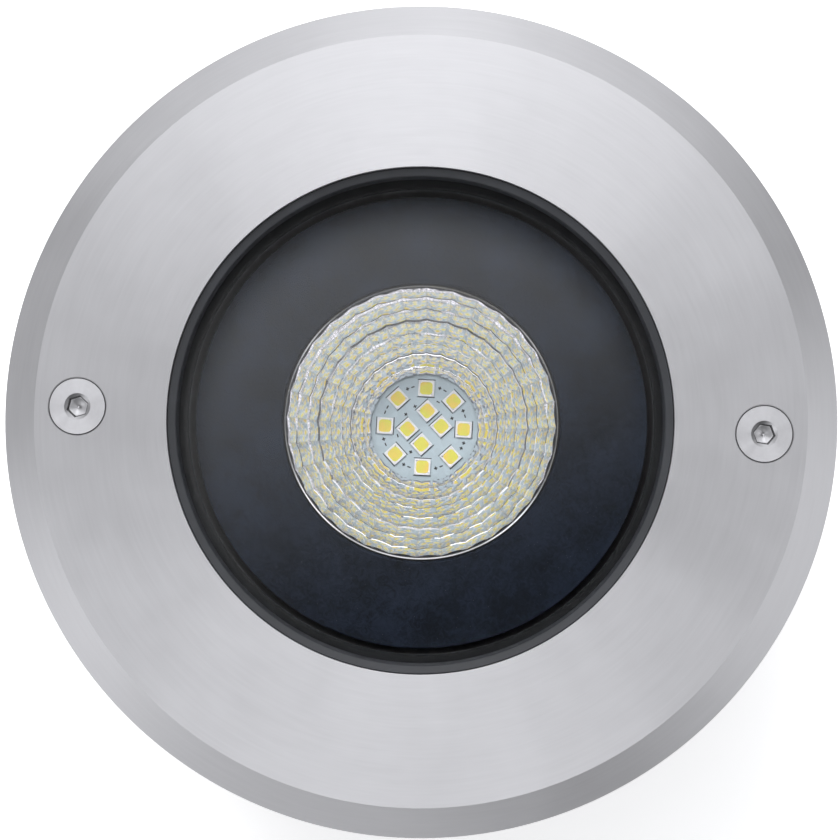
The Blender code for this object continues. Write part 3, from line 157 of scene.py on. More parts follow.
class ReflectorSettings(bpy.types.PropertyGroup):
    columns: count("Columns", "Facets round the cup", 32)
    window: length("Window", "Radius of the opening at the board", 0.0121)
    reach: length("Reach", "Rim radius less window radius", 0.01665)
    groove: length("Groove", "Width of the groove outside the rim", 0.0002)
    brim: length("Brim", "Width of the bright brim outside the groove", 0.00029)
    depth: length("Depth", "Rim height over the window", 0.034)
    wall: length("Wall", "Thickness at the rim", 0.00015)
    skin: length("Skin", "Thickness of the cup behind its facets", 0.0012)
    pillow_across: share("Pillow across", "Bulge of a facet as a share of its width", 0.042)
    pillow_along: share("Pillow along", "Bulge of a facet as a share of its length", 0.024)
    lip: length("Lip", "Width of the lip on each row", 0.00012)
    unevenness: length("Unevenness", "Most that a facet's corner stands off its place", 0.00009)
    spacing: count("Spacing", "Changes of the unevenness in a metre of height", 270)
    lip_slope: share("Lip slope", "Rise of a lip over its width", 0.165)
    ledge_slope: share("Ledge slope", "Fall of the ledge under a tier over its width", 0.27)
    groove_shade: share("Groove shade", "Least upward share of the direction of a face of the brim", 0.8)
    crease: turn("Crease", "Least angle that shows as a crease", 4)
    flange: length("Flange", "Thickness of the flange under the plate", 0.0012)
    steps_across: count("Steps across", "Mesh steps across a facet", 8)
    steps_along: count("Steps along", "Mesh steps along a facet", 6)


class LightSettings(bpy.types.PropertyGroup):
    emitter: length("Emitter", "Side of the phosphor", 0.00275)
    corner: length("Corner", "Rounding of the phosphor's corners", 0.0007)
    recess: length("Recess", "Phosphor under the package's top", 0.00008)
    cluster_turn: turn("Cluster turn", "Turn of the light sources about the axis", -0.55)
    ring_count: count("Ring count", "Light sources on the outer ring", 8)
    side: length("Side", "Side of the package", 0.0036)
    mark: length("Mark", "Length of a printed polarity mark", 0.00078)
    mark_width: length("Mark width", "Width of a printed mark's line", 0.00027)
    mark_circle: length("Mark circle", "Radius of the circle of polarity marks", 0.00945)
    mark_turn: turn("Mark turn", "Half the angle between a pair of marks", 3.9)
    line_share: share("Line share", "Length of a printed line over the package's side", 1.1)
    print_height: length("Print height", "Thickness of the print", 0.00002)


class HousingSettings(bpy.types.PropertyGroup):
    chamber: length("Chamber", "Inner radius of the lower chamber", 0.0399)
    chamber_wall: length("Chamber wall", "Wall of the lower chamber", 0.004)
    bore: length("Bore", "Inner radius of the upper part", 0.0494)
    wall: length("Wall", "Wall of the upper part", 0.0029)
    flange: length("Flange", "Thickness of the screw flange", 0.004)
    floor: length("Floor", "Thickness of the floor", 0.006)
    ledge: length("Ledge", "Height of the ledge under the flange's top", 0.0447)
    ledge_depth: length("Ledge depth", "Thickness of the ledge", 0.010)
    fin_count: count("Fins", "Number of cooling fins", 24)
    fin: length("Fin", "Thickness of a fin at its tip", 0.0018)
    fin_root: length("Fin root", "Thickness of a fin at its root", 0.0024)
    fin_drop: length("Fin drop", "Top of the fins under the flange", 0.009)
    fin_inset: length("Fin inset", "Tip of the fins inside the flange's edge", 0.004)
    edge: length("Edge", "Rounding of the edges", 0.0004)


class SleeveSettings(bpy.types.PropertyGroup):
    radius: length("Radius", "Outer radius of the barrel", 0.078)
    wall: length("Wall", "Thickness of the barrel", 0.003)
    base: length("Base", "Thickness of the base", 0.004)
    flange: length("Flange", "Radius of the flange", 0.0795)
    flange_thickness: length("Flange thickness", "Thickness of the flange", 0.003)
    rib_count: count("Ribs", "Number of upright ribs", 8)
    rib_reach: length("Rib reach", "Ribs proud of the barrel", 0.004)
    rib_thickness: length("Rib thickness", "Thickness of a rib", 0.0025)
    rib_margin: length("Rib margin", "Ribs short of the base and the flange", 0.012)
    band: length("Band", "Height of the ring round the barrel", 0.003)
    conduit: length("Conduit", "Bore of a cable entry, as a radius", 0.0125)
    conduit_wall: length("Conduit wall", "Wall of a cable entry", 0.002)
    conduit_height: length("Conduit height", "Axis of the cable entries over the base", 0.021)
    conduit_reach: length("Conduit reach", "Cable entries proud of the barrel", 0.007)
    boss: length("Boss", "Radius of a screw boss", 0.0055)
    drain: length("Drain", "Radius of the middle drain", 0.014)
    drain_hole: length("Drain hole", "Radius of the other drains", 0.004)
    drain_count: count("Drains", "Number of the other drains", 4)
    edge: length("Edge", "Rounding of the edges", 0.0004)


class FittingSettings(bpy.types.PropertyGroup):
    bolt_shank: length("Bolt shank", "Radius of the flange screws' thread", 0.002)
    bolt_head: length("Bolt head", "Height of the flange screws' heads", 0.0028)
    bolt_key: length("Bolt key", "Socket of the flange screws across its flats", 0.0025)
    knurl: length("Knurl", "Depth of the grooves round a head", 0.00007)
    gland_thread: length("Gland thread", "Radius of the gland's hole in the housing", 0.008)
    gland_across: length("Gland across", "The gland's hexagons across their flats", 0.022)
    gland_flange: length("Gland flange", "Height of the hexagon on the gland's body", 0.005)
    gland_end: length("Gland end", "Height of the nut's domed end", 0.0034)
    gland_wall: length("Gland wall", "Wall of the gland's barrel", 0.002)
    cable: length("Cable", "Radius of the way for the cable", 0.004)
    vent_thread: length("Vent thread", "Radius of the vent's hole in the housing", 0.006)
    vent_head: length("Vent head", "Height of the vent's head", 0.004)
    slot: length("Slot", "Width and depth of the vent's slot", 0.0014)
    plug_cap: length("Plug cap", "Thickness of the blanking plug's flange", 0.002)
    plug_hollow: length("Plug hollow", "Depth of the hollow in the blanking plug", 0.006)
    gap: length("Gap", "Space between fitted pieces", 0.0003)
    edge: length("Edge", "Rounding of the edges", 0.00025)


class FinishSettings(bpy.types.PropertyGroup):
    steel: paint("Steel", "Turned face ring and screws", (0.64, 0.638, 0.65))
    bolts: paint("Bolts", "Inner screws", (0.62, 0.62, 0.62))
    brass: paint("Brass", "Threaded inserts", (0.66, 0.50, 0.25))
    rubber: paint("Rubber", "Gasket and seals", (0.012, 0.013, 0.015))
    glass: paint("Glass", "Tint of the glass", (0.985, 0.993, 0.993))
    casting: paint("Casting", "Housing", (0.46, 0.465, 0.475))
    plate: paint("Plate", "Trim plate", (0.0055, 0.0075, 0.013))
    bluing: paint("Bluing", "Sheen of the trim plate", (0.72, 0.84, 1.0))
    mirror: paint("Mirror", "Reflector", (0.985, 0.972, 0.99))
    mask: paint("Solder mask", "Circuit board", (0.50, 0.585, 0.63))
    ink: paint("Ink", "Printed marks", (0.012, 0.012, 0.014))
    package: paint("Package", "Body of a light source", (0.95, 0.93, 0.97))
    phosphor: paint("Phosphor", "Edge of a light source's face", (0.82, 0.76, 0.12))
    amber: paint("Amber", "Middle of a light source's face", (0.94, 0.69, 0.15))
    milled: paint("Milled", "Heat spreader", (0.60, 0.61, 0.62))
    potting: paint("Potting", "Driver case", (0.30, 0.31, 0.33))
    nylon: paint("Nylon", "Washers and terminal block", (0.75, 0.74, 0.70))
    moulding: paint("Moulding", "Sleeve and gland", (0.022, 0.022, 0.024))
    live: paint("Live", "Live leads", (0.40, 0.05, 0.03))
    neutral: paint("Neutral", "Neutral leads", (0.02, 0.06, 0.24))


class StudioSettings(bpy.types.PropertyGroup):
    distance: length("Distance", "Camera over the ring's top", 0.70)
    foot_x: length("Foot X", "Camera to the right of the middle", 0.015)
    foot_y: length("Foot Y", "Camera above the middle in plan", -0.024)
    roll: turn("Roll", "Turn of the picture", 2.35)
    half_frame: length("Half frame", "Half the picture's width at the ring", 0.0882)
    sensor: share("Sensor", "Sensor width in millimetres", 36)
    sky: paint("Sky", "Tint of the studio's light", (0.975, 0.98, 1.01))
    floor: paint("Floor", "Floor and backdrop", (0.86, 0.86, 0.86))
    floor_size: length("Floor size", "Width of the floor", 6)
    floor_gap: length("Floor gap", "Floor under the sleeve's base", 0.0001)
    floor_glow: share("Floor glow", "Light that the floor gives off where it is seen", 0.5)
    lamp_power: share("Lamp power", "Power of the overhead lamp in watts", 16.0)
    lamp_size: length("Lamp size", "Side of the overhead lamp", 0.7)
    lamp_x: length("Lamp X", "Lamp to the right of the middle", -0.25)
    lamp_y: length("Lamp Y", "Lamp above the middle in plan", 0.70)
    lamp_height: length("Lamp height", "Lamp over the ring's top", 1.25)
    clip: length("Clip", "Nearest that the camera sees", 0.01)


class LightLooks(bpy.types.PropertyGroup):
    ring: PointerProperty(type=RingSettings)
    screw: PointerProperty(type=ScrewSettings)
    glass: PointerProperty(type=GlassSettings)
    plate: PointerProperty(type=PlateSettings)
    reflector: PointerProperty(type=ReflectorSettings)
    light: PointerProperty(type=LightSettings)
    housing: PointerProperty(type=HousingSettings)
    sleeve: PointerProperty(type=SleeveSettings)
    fitting: PointerProperty(type=FittingSettings)
    finish: PointerProperty(type=FinishSettings)
    studio: PointerProperty(type=StudioSettings)


def looks():
    """The settings of the scene."""
    return bpy.context.scene.ground_light


# The reflector's rows as shares of the way out from the window to the rim, tier by tier, and the places
# of the corners on its back
TIER_ROW_SHARES = ((1.0, 0.906, 0.7745, 0.664), (0.638, 0.4996, 0.369, 0.266), (0.244, 0.0923, 0.0))
BACK_SHARES = (0.05, 0.3, 0.55, 0.75)

# A thread's ridge as shares of its pitch: where its foot, its crest and its foot again lie along the
# axis, and how far the foot is sunk into the core
RIDGE_SHARES, SUNK_SHARE = (0.06, 0.42, 0.54, 0.90), 0.125

# Printed pairs of marks in the gaps of the ring of light sources, clockwise, and the marks inside it as
# (mark, share of the way out to the circle of marks, angle in degrees)
RING_MARKS = ("+-", "+-", "+-", "++", "-+", "-+", "-+", "--")
INNER_MARK_SHARES = (
    ("+", 0.55, 116), ("+", 0.54, 146.5), ("+", 0.69, 21),
    ("-", 0.69, 64), ("-", 0.66, -161), ("+", 0.66, -117),
)

# Brightness of the studio low down round the light, from +X through +Y
SURROUND_SHARES = (1.25, 0.52, 1.06, 1.52, 1.17, 0.70, 0.72, 1.58, 1.0, 0.90, 0.56, 1.22, 1.25)

# The studio's ceiling: where each bright or dark field begins and ends, along a direction's X or Y
FIELD_SHARES = {
    "across": (0.02, 0.34), "behind": (0.0, 0.33), "front": (0.03, 0.13), "ahead": (0.05, 0.16),
    "flanks": (0.16, 0.26, 0.32, 0.38), "near": (-0.34, -0.20), "left": (-0.14, 0.14),
    "sides": (0.36, 0.44, 0.56, 0.64), "sides_ahead": (0.28, 0.42),
    "back": (0.38, 0.44, 0.56, 0.64), "back_across": (0.22, 0.40),
    "shadow": (0.085, 0.15), "sheen": (-0.062, 0.062), "sheen_edge": (0.060, 0.079),
    "low": (0.30, 0.60), "overhead": (0.62, 0.86),
}

# Middle of the camera's shadow on that ceiling, of the sheen in it, and the sheen's slope across it
SHADOW_SHARES, SHEEN_SHARES, SLOPE_SHARES = (-0.021, 0.034), (-0.021, 0.026), (0.34, 0.94)


class Signal:
    """A shader socket; sums, products and comparisons of signals add Math nodes."""

    def __init__(self, surface, socket):
        self.surface = surface
        self.socket = socket

    def math(self, operation, *others, clamp=False):
        inputs = dict(enumerate((self, *others)))
        return self.surface.node("Math", {"operation": operation, "use_clamp": clamp}, inputs)

    def __add__(self, other):
        return self.math("ADD", other)

    def __sub__(self, other):
        return self.math("SUBTRACT", other)

    def __mul__(self, other):
        return self.math("MULTIPLY", other)

    def __truediv__(self, other):
        return self.math("DIVIDE", other)

    def __rsub__(self, other):
        return self.surface.node("Math", {"operation": "SUBTRACT"}, {0: other, 1: self})

    __radd__ = __add__
    __rmul__ = __mul__

    def between(self, low, high):
        """0 below low, 1 above high, with a smooth step from one to the other."""
        settings = {"interpolation_type": "SMOOTHSTEP"}
        return self.surface.node("MapRange", settings, {"Value": self, "From Min": low, "From Max": high})

    def field(self, name):
        """A smooth step over the named field of the studio, and down again where it has four limits."""
        limits = FIELD_SHARES[name]
        rise = self.between(*limits[:2])
        return rise * (1.0 - self.between(*limits[2:])) if limits[2:] else rise


class Surface:
    """A node tree for a material or the world, filled from expressions."""

    def __init__(self, owner):
        owner.use_nodes = True
        self.owner = owner
        self.tree = owner.node_tree

    def node(self, kind, settings=None, inputs=None, output=0):
        """Adds a node with its settings, then its values or links, and gives one of its outputs."""
        made = self.tree.nodes.new("ShaderNode" + kind)
        for key, value in (settings or {}).items():
            if key == "stops":
                self.fill_ramp(made.color_ramp, value)
            else:
                setattr(made, key, value)
        for key, value in (inputs or {}).items():
            self.feed(made.inputs[key], value)
        return Signal(self, made.outputs[output])

    def feed(self, socket, value):
        """Links a signal to a socket, or sets the socket's own value."""
        if isinstance(value, Signal):
            self.tree.links.new(value.socket, socket)
        elif hasattr(value, "__len__") and len(value) < len(socket.default_value):
            socket.default_value = (*value, 1.0)
        else:
            socket.default_value = value

    def fill_ramp(self, ramp, stops):
        """Sets a colour ramp's stops from (place, grey) pairs."""
        while len(ramp.elements) < len(stops):
            ramp.elements.new(0.5)
        for element, (place, grey) in zip(ramp.elements, stops):
            element.position = place
            element.color = (grey, grey, grey, 1.0)

    def place(self, centre=(0, 0, 0)):
        """Object coordinates, measured from a centre."""
        here = self.node("TexCoord", output="Object")
        away = [-value for value in centre]
        return self.node("Mapping", None, {"Vector": here, "Location": away})

    def parts(self, vector):
        """The three numbers of a vector."""
        split = self.tree.nodes.new("ShaderNodeSeparateXYZ")
        self.feed(split.inputs[0], vector)
        return [Signal(self, socket) for socket in split.outputs]

    def joined(self, x, y, z):
        """A vector from three numbers."""
        return self.node("CombineXYZ", None, {0: x, 1: y, 2: z})

    def scaled(self, vector, factors):
        """A vector stretched along its axes."""
        return self.node("VectorMath", {"operation": "MULTIPLY"}, {0: vector, 1: factors})

    def noise(self, vector, scale, detail=2.0, roughness=0.5, warp=0.0):
        """A cloudy pattern of numbers."""
        names = ("Vector", "Scale", "Detail", "Roughness", "Distortion")
        return self.node("TexNoise", None, dict(zip(names, (vector, scale, detail, roughness, warp))))

    def blend(self, factor, first, second):
        """A mix of two colours."""
        return self.node("Mix", {"data_type": "RGBA"}, {0: factor, 6: first, 7: second}, 2)

    def bump(self, height, distance, strength=1.0):
        """A surface normal from a height."""
        return self.node("Bump", None, {"Height": height, "Distance": distance, "Strength": strength})

    def principled(self, **values):
        """Sets the material's shader; a name's underscores stand for spaces."""
        shader = self.tree.nodes["Principled BSDF"]
        for key, value in values.items():
            self.feed(shader.inputs[key.replace("_", " ").title().replace("Ior", "IOR")], value)
        return Signal(self, shader.outputs[0])

    def finished(self, **values):
        """Sets the material's shader and gives the material."""
        self.principled(**values)
        return self.owner

    def finish_with(self, shader):
        """Sends a shader to the output."""
        output = next(node for node in self.tree.nodes if node.bl_idname.startswith("ShaderNodeOutput"))
        self.tree.links.new(shader.socket, output.inputs["Surface"])


def new_surface(name):
    """A material's node tree."""
    return Surface(bpy.data.materials.new(name))


def radius_of(x, y):
    """Distance from the axis, or from the middle of a plan."""
    return (x * x + y * y).math("SQRT")


def shade(colour, factor):
    """A darker or lighter version of a colour."""
    return [min(value * factor, 1.0) for value in colour]


def turned_steel(name, centre, recess, smooth_from=None, strokes=5.0, pull=0.75):
    """Steel finished on a lathe: fine scratches, broad bands, cloudy fans, and painted shade in its
    recesses.
    """
    surface = new_surface(name)
    steel = looks().finish.steel
    x, y, z = surface.parts(surface.place(centre))
    radius = radius_of(x, y)
    along = (x / radius * strokes, y / radius * strokes)
    scratches = surface.noise(surface.joined(radius * 2600, *along), 1.0, 0.0, 0.5)
    lines = surface.noise(surface.joined(radius * 1300, along[0] * 1.5, along[1] * 1.5), 1.0, 1.0, 0.5)
    bands = surface.noise(surface.joined(radius * 260, *along), 1.0, 2.0, 0.5)
    fans = surface.noise(surface.joined(radius * 30, along[0] * 0.9, along[1] * 0.9), 1.0, 2.0, 0.5)
    clouds = surface.noise(surface.place(centre), 38.0, 3.0, 0.6)
    grain = scratches * 0.4 + lines * 0.6
    tone = (grain - 0.5) * 0.4 + (bands - 0.5) * 0.22 + (clouds - 0.5) * 0.3 + (fans - 0.5) * 0.5 + 0.5
    bright = surface.blend(tone.math("ADD", 0.0, clamp=True), shade(steel, 0.86), shade(steel, 1.10))
    # Painted shade: where the recess function says, the steel colour is blended towards near black
    # (countersinks, sockets, under screw heads)
    colour = surface.blend(recess(x, y, z), bright, shade(steel, 0.06))
    roughness = 0.30 + (grain - 0.5) * 0.08 + (clouds - 0.5) * 0.08 + (fans - 0.5) * 0.12
    relief = 0.04
    if smooth_from:
        blur = looks().ring.edge * 3
        relief = 0.04 - radius.between(smooth_from - blur, smooth_from + blur) * 0.02
    normal = surface.bump(bands * relief, TURNED_RELIEF, 0.8)
    roughness = roughness.math("MAXIMUM", 0.28)
    surface.principled(base_color=colour, metallic=1.0, roughness=roughness, normal=normal)
    surface.principled(anisotropic=pull, anisotropic_rotation=0.25)
    return surface.owner


def countersink_shadow(x, y, z):
    """Where the face ring lies in its screws' shadow: under its face, from opening to chamfer."""
    screw = looks().screw
    top = ring_top()
    radius = radius_of(x, y)
    inner, outer = screw.circle - screw.hole * 1.1, screw.circle + screw.hole * 1.1
    band = radius.between(inner - screw.edge, inner) * (1.0 - radius.between(outer, outer + screw.edge))
    return band * (1.0 - z.between(top - screw.edge * 3, top - screw.edge / 2)) * 0.9


def socket_shadow(key_turn):
    """Gives the function for the painted shade on a face screw: its socket's edge and walls, its side, and
    one side of the cone round its socket.
    """
    screw = looks().screw
    top = ring_top() - screw.sunk
    floor = top - screw.depth
    flat = screw.key / 2

    def shadow(x, y, z):
        radius = radius_of(x, y)
        under = 1.0 - z.between(top - screw.edge * 2, top)
        side = radius.between(screw.head - screw.edge, screw.head) * under
        reach = None
        for step in range(3):
            angle = key_turn + math.tau / 6 * step
            across = (x * math.cos(angle) + y * math.sin(angle)).math("ABSOLUTE")
            reach = across if reach is None else reach.math("MAXIMUM", across)
        inside = 1.0 - reach.between(flat, flat + screw.edge)
        rim = reach.between(flat - screw.edge * 2.4, flat - screw.edge) * inside
        wall = z.between(floor, floor + screw.edge) * inside
        cone = (1.0 - inside) * (1.0 - radius.between(screw.mouth - screw.edge, screw.mouth))
        # Painted shade on one side of the cone round the socket: darker where y is greater than x
        painted_cone_shade = cone * (y - x).between(0.0, screw.mouth) * 0.7
        return ((side + rim + wall).math("MINIMUM", 1.0) * 0.9).math("MAXIMUM", painted_cone_shade)

    return shadow


def bright_bolts():
    """Bright screws with faint handling marks."""
    surface = new_surface("bright_bolts")
    steel = looks().finish.bolts
    marks = surface.noise(surface.place(), 900.0, 3.0, 0.6)
    patches = surface.noise(surface.place(), 120.0, 2.0)
    colour = surface.blend(patches, shade(steel, 0.82), shade(steel, 1.12))
    roughness = 0.28 + marks * 0.10
    normal = surface.bump(marks, FAINT_RELIEF, 0.5)
    return surface.finished(base_color=colour, metallic=1.0, roughness=roughness, normal=normal)


def machined_brass():
    """Brass with fine turning lines and a little tarnish."""
    surface = new_surface("machined_brass")
    brass = looks().finish.brass
    place = surface.place()
    lines = surface.noise(surface.scaled(place, (1, 1, 40)), 120.0, 2.0)
    tarnish = surface.noise(place, 260.0, 4.0, 0.65)
    colour = surface.blend(tarnish.between(0.45, 0.7), brass, shade(brass, 0.62))
    normal = surface.bump(lines, FINE_RELIEF, 0.6)
    return surface.finished(base_color=colour, metallic=1.0, roughness=0.28 + tarnish * 0.2, normal=normal)


def moulded_rubber():
    """Black rubber with a faint bloom and fine skin, weathered lighter above the glass's top, with painted
    shade darkening it below.
    """
    surface = new_surface("moulded_rubber")
    rubber = looks().finish.rubber
    place = surface.place()
    skin = surface.noise(place, 2600.0, 3.0, 0.6)
    bloom = surface.noise(place, 85.0, 4.0, 0.6)
    glass_top = ends("glass")[1]
    # Above the glass's top the rubber is weathered lighter; below it the darker copy is painted shade
    weathered_above_shaded_below = surface.parts(place)[2].between(glass_top, glass_top + looks().glass.leg)
    fresh_in_painted_shade = surface.blend(bloom.between(0.4, 0.75), shade(rubber, 0.4), shade(rubber, 0.8))
    aged = surface.blend(bloom.between(0.4, 0.75), shade(rubber, 1.8), shade(rubber, 2.6))
    colour = surface.blend(weathered_above_shaded_below, fresh_in_painted_shade, aged)
    roughness = 0.56 + bloom * 0.16 - weathered_above_shaded_below * 0.2
    normal = surface.bump(skin, FINE_RELIEF, 0.5)
    return surface.finished(base_color=colour, roughness=roughness, normal=normal, specular_ior_level=0.6)


def clear_glass():
    """Clear glass that lets the lamps through, with faint smudges."""
    surface = new_surface("clear_glass")
    clear = looks().finish.glass
    smudge = surface.noise(surface.place(), 60.0, 4.0, 0.6)
    body = surface.principled(base_color=clear, roughness=0.004 + smudge.between(0.55, 0.8) * 0.02,
                              transmission_weight=1.0, ior=1.5)
    lamp_ray = surface.node("LightPath", output="Is Shadow Ray")
    open_way = surface.node("BsdfTransparent", None, {"Color": clear})
    surface.finish_with(surface.node("MixShader", None, {0: lamp_ray, 1: body, 2: open_way}))
    return surface.owner


def cast_metal():
    """Die-cast aluminium: a fine pebbled skin, flow marks and duller hollows."""
    surface = new_surface("cast_metal")
    casting = looks().finish.casting
    place = surface.place()
    pebbles = surface.noise(place, 1500.0, 4.0, 0.6)
    flow = surface.noise(surface.scaled(place, (1, 1, 0.35)), 70.0, 5.0, 0.6, 0.8)
    colour = surface.blend(flow.between(0.3, 0.75), shade(casting, 0.78), shade(casting, 1.12))
    roughness = 0.48 + (pebbles - 0.5) * 0.2 + (flow - 0.5) * 0.15
    normal = surface.bump(pebbles * 0.7 + flow * 0.3, CAST_RELIEF, 0.7)
    return surface.finished(base_color=colour, metallic=1.0, roughness=roughness, normal=normal)


def leather_grain():
    """Charcoal moulding with a fine creased grain and a glossier edge round the reflector."""
    surface = new_surface("leather_grain")
    plate, edge = looks().finish.plate, looks().plate.edge
    place = surface.place()
    radius = radius_of(*surface.parts(place)[:2])
    rim = 1.0 - radius.between(plate_hole() + edge, plate_hole() + edge * 2)
    bend = surface.noise(place, 240.0, 3.0, 0.55)
    folds = surface.noise(place, 620.0, 5.0, 0.68, 1.8)
    fine = surface.noise(place, 2600.0, 2.0, 0.5)
    blotch = surface.noise(place, 95.0, 4.0, 0.6)
    height = folds * 0.6 + fine * 0.15 + bend * 0.2
    tone = blotch * 0.5 + folds * 0.5
    colour = surface.blend(tone.between(0.38, 0.64), shade(plate, 0.3), shade(plate, 2.3))
    roughness = (0.40 + (folds - 0.5) * 0.3 + blotch * 0.08).math("MAXIMUM", 0.29) * (1.0 - rim * 0.5)
    normal = surface.bump(height * (1.0 - rim), CREASED_RELIEF, 0.8)
    surface.principled(base_color=colour, roughness=roughness, normal=normal, specular_ior_level=0.23)
    surface.principled(specular_tint=(*looks().finish.bluing, 1))
    return surface.owner


def mirror_coat():
    """Bright metallised facets, a little hazy, with painted shade along the seams between the columns."""
    surface = new_surface("mirror_coat")
    mirror, cup = looks().finish.mirror, looks().reflector
    place = surface.place()
    x, y = surface.parts(place)[:2]
    column = (y.math("ARCTAN2", x) / math.tau * cup.columns + cup.columns).math("FRACT")
    # The seams between columns get painted shade in the colour, and a rougher finish
    seam_with_painted_shade = (column - 0.5).math("ABSOLUTE").between(0.45, 0.495)
    haze = surface.noise(place, 210.0, 3.0, 0.6)
    ripple = surface.noise(place, 620.0, 2.0, 0.5)
    colour = surface.blend(haze, shade(mirror, 0.96), mirror)
    colour = surface.blend(seam_with_painted_shade, colour, shade(mirror, 0.86))
    normal = surface.bump(ripple, FINE_RELIEF, 0.5)
    roughness = 0.075 + haze * 0.04 + seam_with_painted_shade * 0.08
    return surface.finished(base_color=colour, metallic=1.0, roughness=roughness, normal=normal)


def solder_mask():
    """The board's pale glossy mask over faint copper areas."""
    surface = new_surface("solder_mask")
    mask = looks().finish.mask
    place = surface.place()
    copper = surface.noise(place, 340.0, 1.0, 0.4).between(0.5, 0.53)
    fine = surface.noise(place, 1800.0, 3.0, 0.6)
    colour = surface.blend(copper * 0.5 + fine * 0.3, mask, shade(mask, 1.10))
    normal = surface.bump(copper * 0.8 + fine * 0.1, FINE_RELIEF, 0.6)
    return surface.finished(base_color=colour, roughness=0.30 + fine * 0.12, normal=normal)


def speckled_phosphor():
    """Phosphor in clear silicone: amber where thick, yellow-green where thin, finely speckled."""
    surface = new_surface("phosphor")
    finish = looks().finish
    place = surface.place()
    pools = surface.noise(place, 300.0, 1.0, 0.4)
    specks = surface.noise(place, 4200.0, 2.0, 0.6)
    thick = (pools + (specks - 0.5) * 0.2).between(0.46, 0.70)
    colour = surface.blend(thick, finish.phosphor, finish.amber)
    normal = surface.bump(specks, FAINT_RELIEF, 0.5)
    return surface.finished(base_color=colour, roughness=0.34 + specks * 0.16, normal=normal)


def plain_finish(name, colour, scale, roughness, metallic=0.0, spread=0.14, relief=MOULDED_RELIEF,
                 stretch=(1, 1, 1)):
    """A moulded, drawn or milled finish: grain with its own relief, sheen and tone."""
    surface = new_surface(name)
    place = surface.scaled(surface.place(), stretch)
    grain = surface.noise(place, scale, 4.0, 0.6)
    patches = surface.noise(surface.place(), 80.0, 3.0, 0.6)
    tone = grain * 0.5 + patches * 0.5
    tinted = surface.blend(tone.between(0.3, 0.7), shade(colour, 1 - spread), shade(colour, 1 + spread))
    sheen = roughness + (grain - 0.5) * 0.18 + (patches - 0.5) * 0.12
    normal = surface.bump(grain, relief, 0.6)
    return surface.finished(base_color=tinted, roughness=sheen, metallic=metallic, normal=normal)


FINISHES = {}


def make_finishes():
    """The finish of each material slot of the record."""
    finish = looks().finish
    ring_edge = half_width("face_ring") - looks().ring.chamfer
    FINISHES.update({
        "brushed_steel": turned_steel("turned_face", (0, 0, 0), countersink_shadow, ring_edge),
        "bolt_steel": bright_bolts(),
        "insert_brass": machined_brass(),
        "gasket_rubber": moulded_rubber(),
        "clear_glass": clear_glass(),
        "cast_aluminium": cast_metal(),
        "black_plate": leather_grain(),
        "reflector_mirror": mirror_coat(),
        "board_white": solder_mask(),
        "led_phosphor": speckled_phosphor(),
        "plain_aluminium": plain_finish("milled_metal", finish.milled, 500.0, 0.34, 1.0,
                                        stretch=(14, 1, 1)),
        "driver_case": plain_finish("potting", finish.potting, 1300.0, 0.5),
        "nylon": plain_finish("nylon", finish.nylon, 1500.0, 0.5, spread=0.06),
        "sleeve_plastic": plain_finish("moulding", finish.moulding, 1400.0, 0.52, spread=0.25,
                                       relief=COARSE_RELIEF),
        "lead_live": plain_finish("live_lead", finish.live, 1600.0, 0.4),
        "lead_neutral": plain_finish("neutral_lead", finish.neutral, 1600.0, 0.4),
    })


def half_width(node):
    """Half the width of a node along X."""
    low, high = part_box(node)
    return (high.x - low.x) / 2


def middle(node):
    """The middle of a node's box."""
    low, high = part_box(node)
    return (low + high) / 2


def ends(node):
    """Heights of a node's lower and upper end."""
    low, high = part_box(node)
    return low.z, high.z


def upright(node):
    """A move to a node's place in plan."""
    spot = middle(node)
    return Matrix.Translation((spot.x, spot.y, 0))


def ring_top():
    """Height of the ring's top face."""
    return ends("face_ring")[1]


def ground():
    """Height of the ground's surface, on which the ring rests."""
    return ring_top() - looks().ring.height


def plate_hole():
    """Radius of the trim plate's hole round the reflector's brim."""
    cup = looks().reflector
    return cup.window + cup.reach + cup.groove + cup.brim + looks().plate.hole_gap


def spun(outline, steps, closed=True):
    """An outline of (radius, height) points spun about Z, as the spin leaves it."""
    shape = bmesh.new()
    verts = [shape.verts.new((radius, 0, height)) for radius, height in outline]
    following = verts[1:] + verts[:1] if closed else verts[1:]
    edges = [shape.edges.new(pair) for pair in zip(verts, following)]
    bmesh.ops.spin(shape, geom=verts + edges, cent=(0, 0, 0), axis=(0, 0, 1), dvec=(0, 0, 0),
                   angle=math.tau, steps=steps, use_merge=True)
    return shape


def lathe(outline, steps=BODY_STEPS, closed=True):
    """A body turned about Z, merged at its poles and facing outwards."""
    shape = spun(outline, steps, closed)
    bmesh.ops.remove_doubles(shape, verts=shape.verts, dist=MERGE)
    bmesh.ops.recalc_face_normals(shape, faces=shape.faces)
    return shape


def rod(radius, low, high, steps=HOLE_STEPS):
    """An upright cylinder between two heights."""
    shape = bmesh.new()
    sizes = {"segments": steps, "radius1": radius, "radius2": radius, "depth": high - low}
    bmesh.ops.create_cone(shape, cap_ends=True, **sizes)
    return moved(shape, Matrix.Translation((0, 0, (low + high) / 2)))


def disc(radius, low, high, steps):
    """A turned disc between two heights."""
    return lathe([(0, low), (radius, low), (radius, high), (0, high)], steps, closed=False)


def block(low, high):
    """A box between two corners."""
    shape = bmesh.new()
    bmesh.ops.create_cube(shape, size=1)
    low, high = Vector(low), Vector(high)
    bmesh.ops.scale(shape, vec=high - low, verts=shape.verts)
    return moved(shape, Matrix.Translation((low + high) / 2))


def moved(shape, matrix):
    """The shape after a move or a turn."""
    bmesh.ops.transform(shape, matrix=matrix, verts=shape.verts)
    return shape


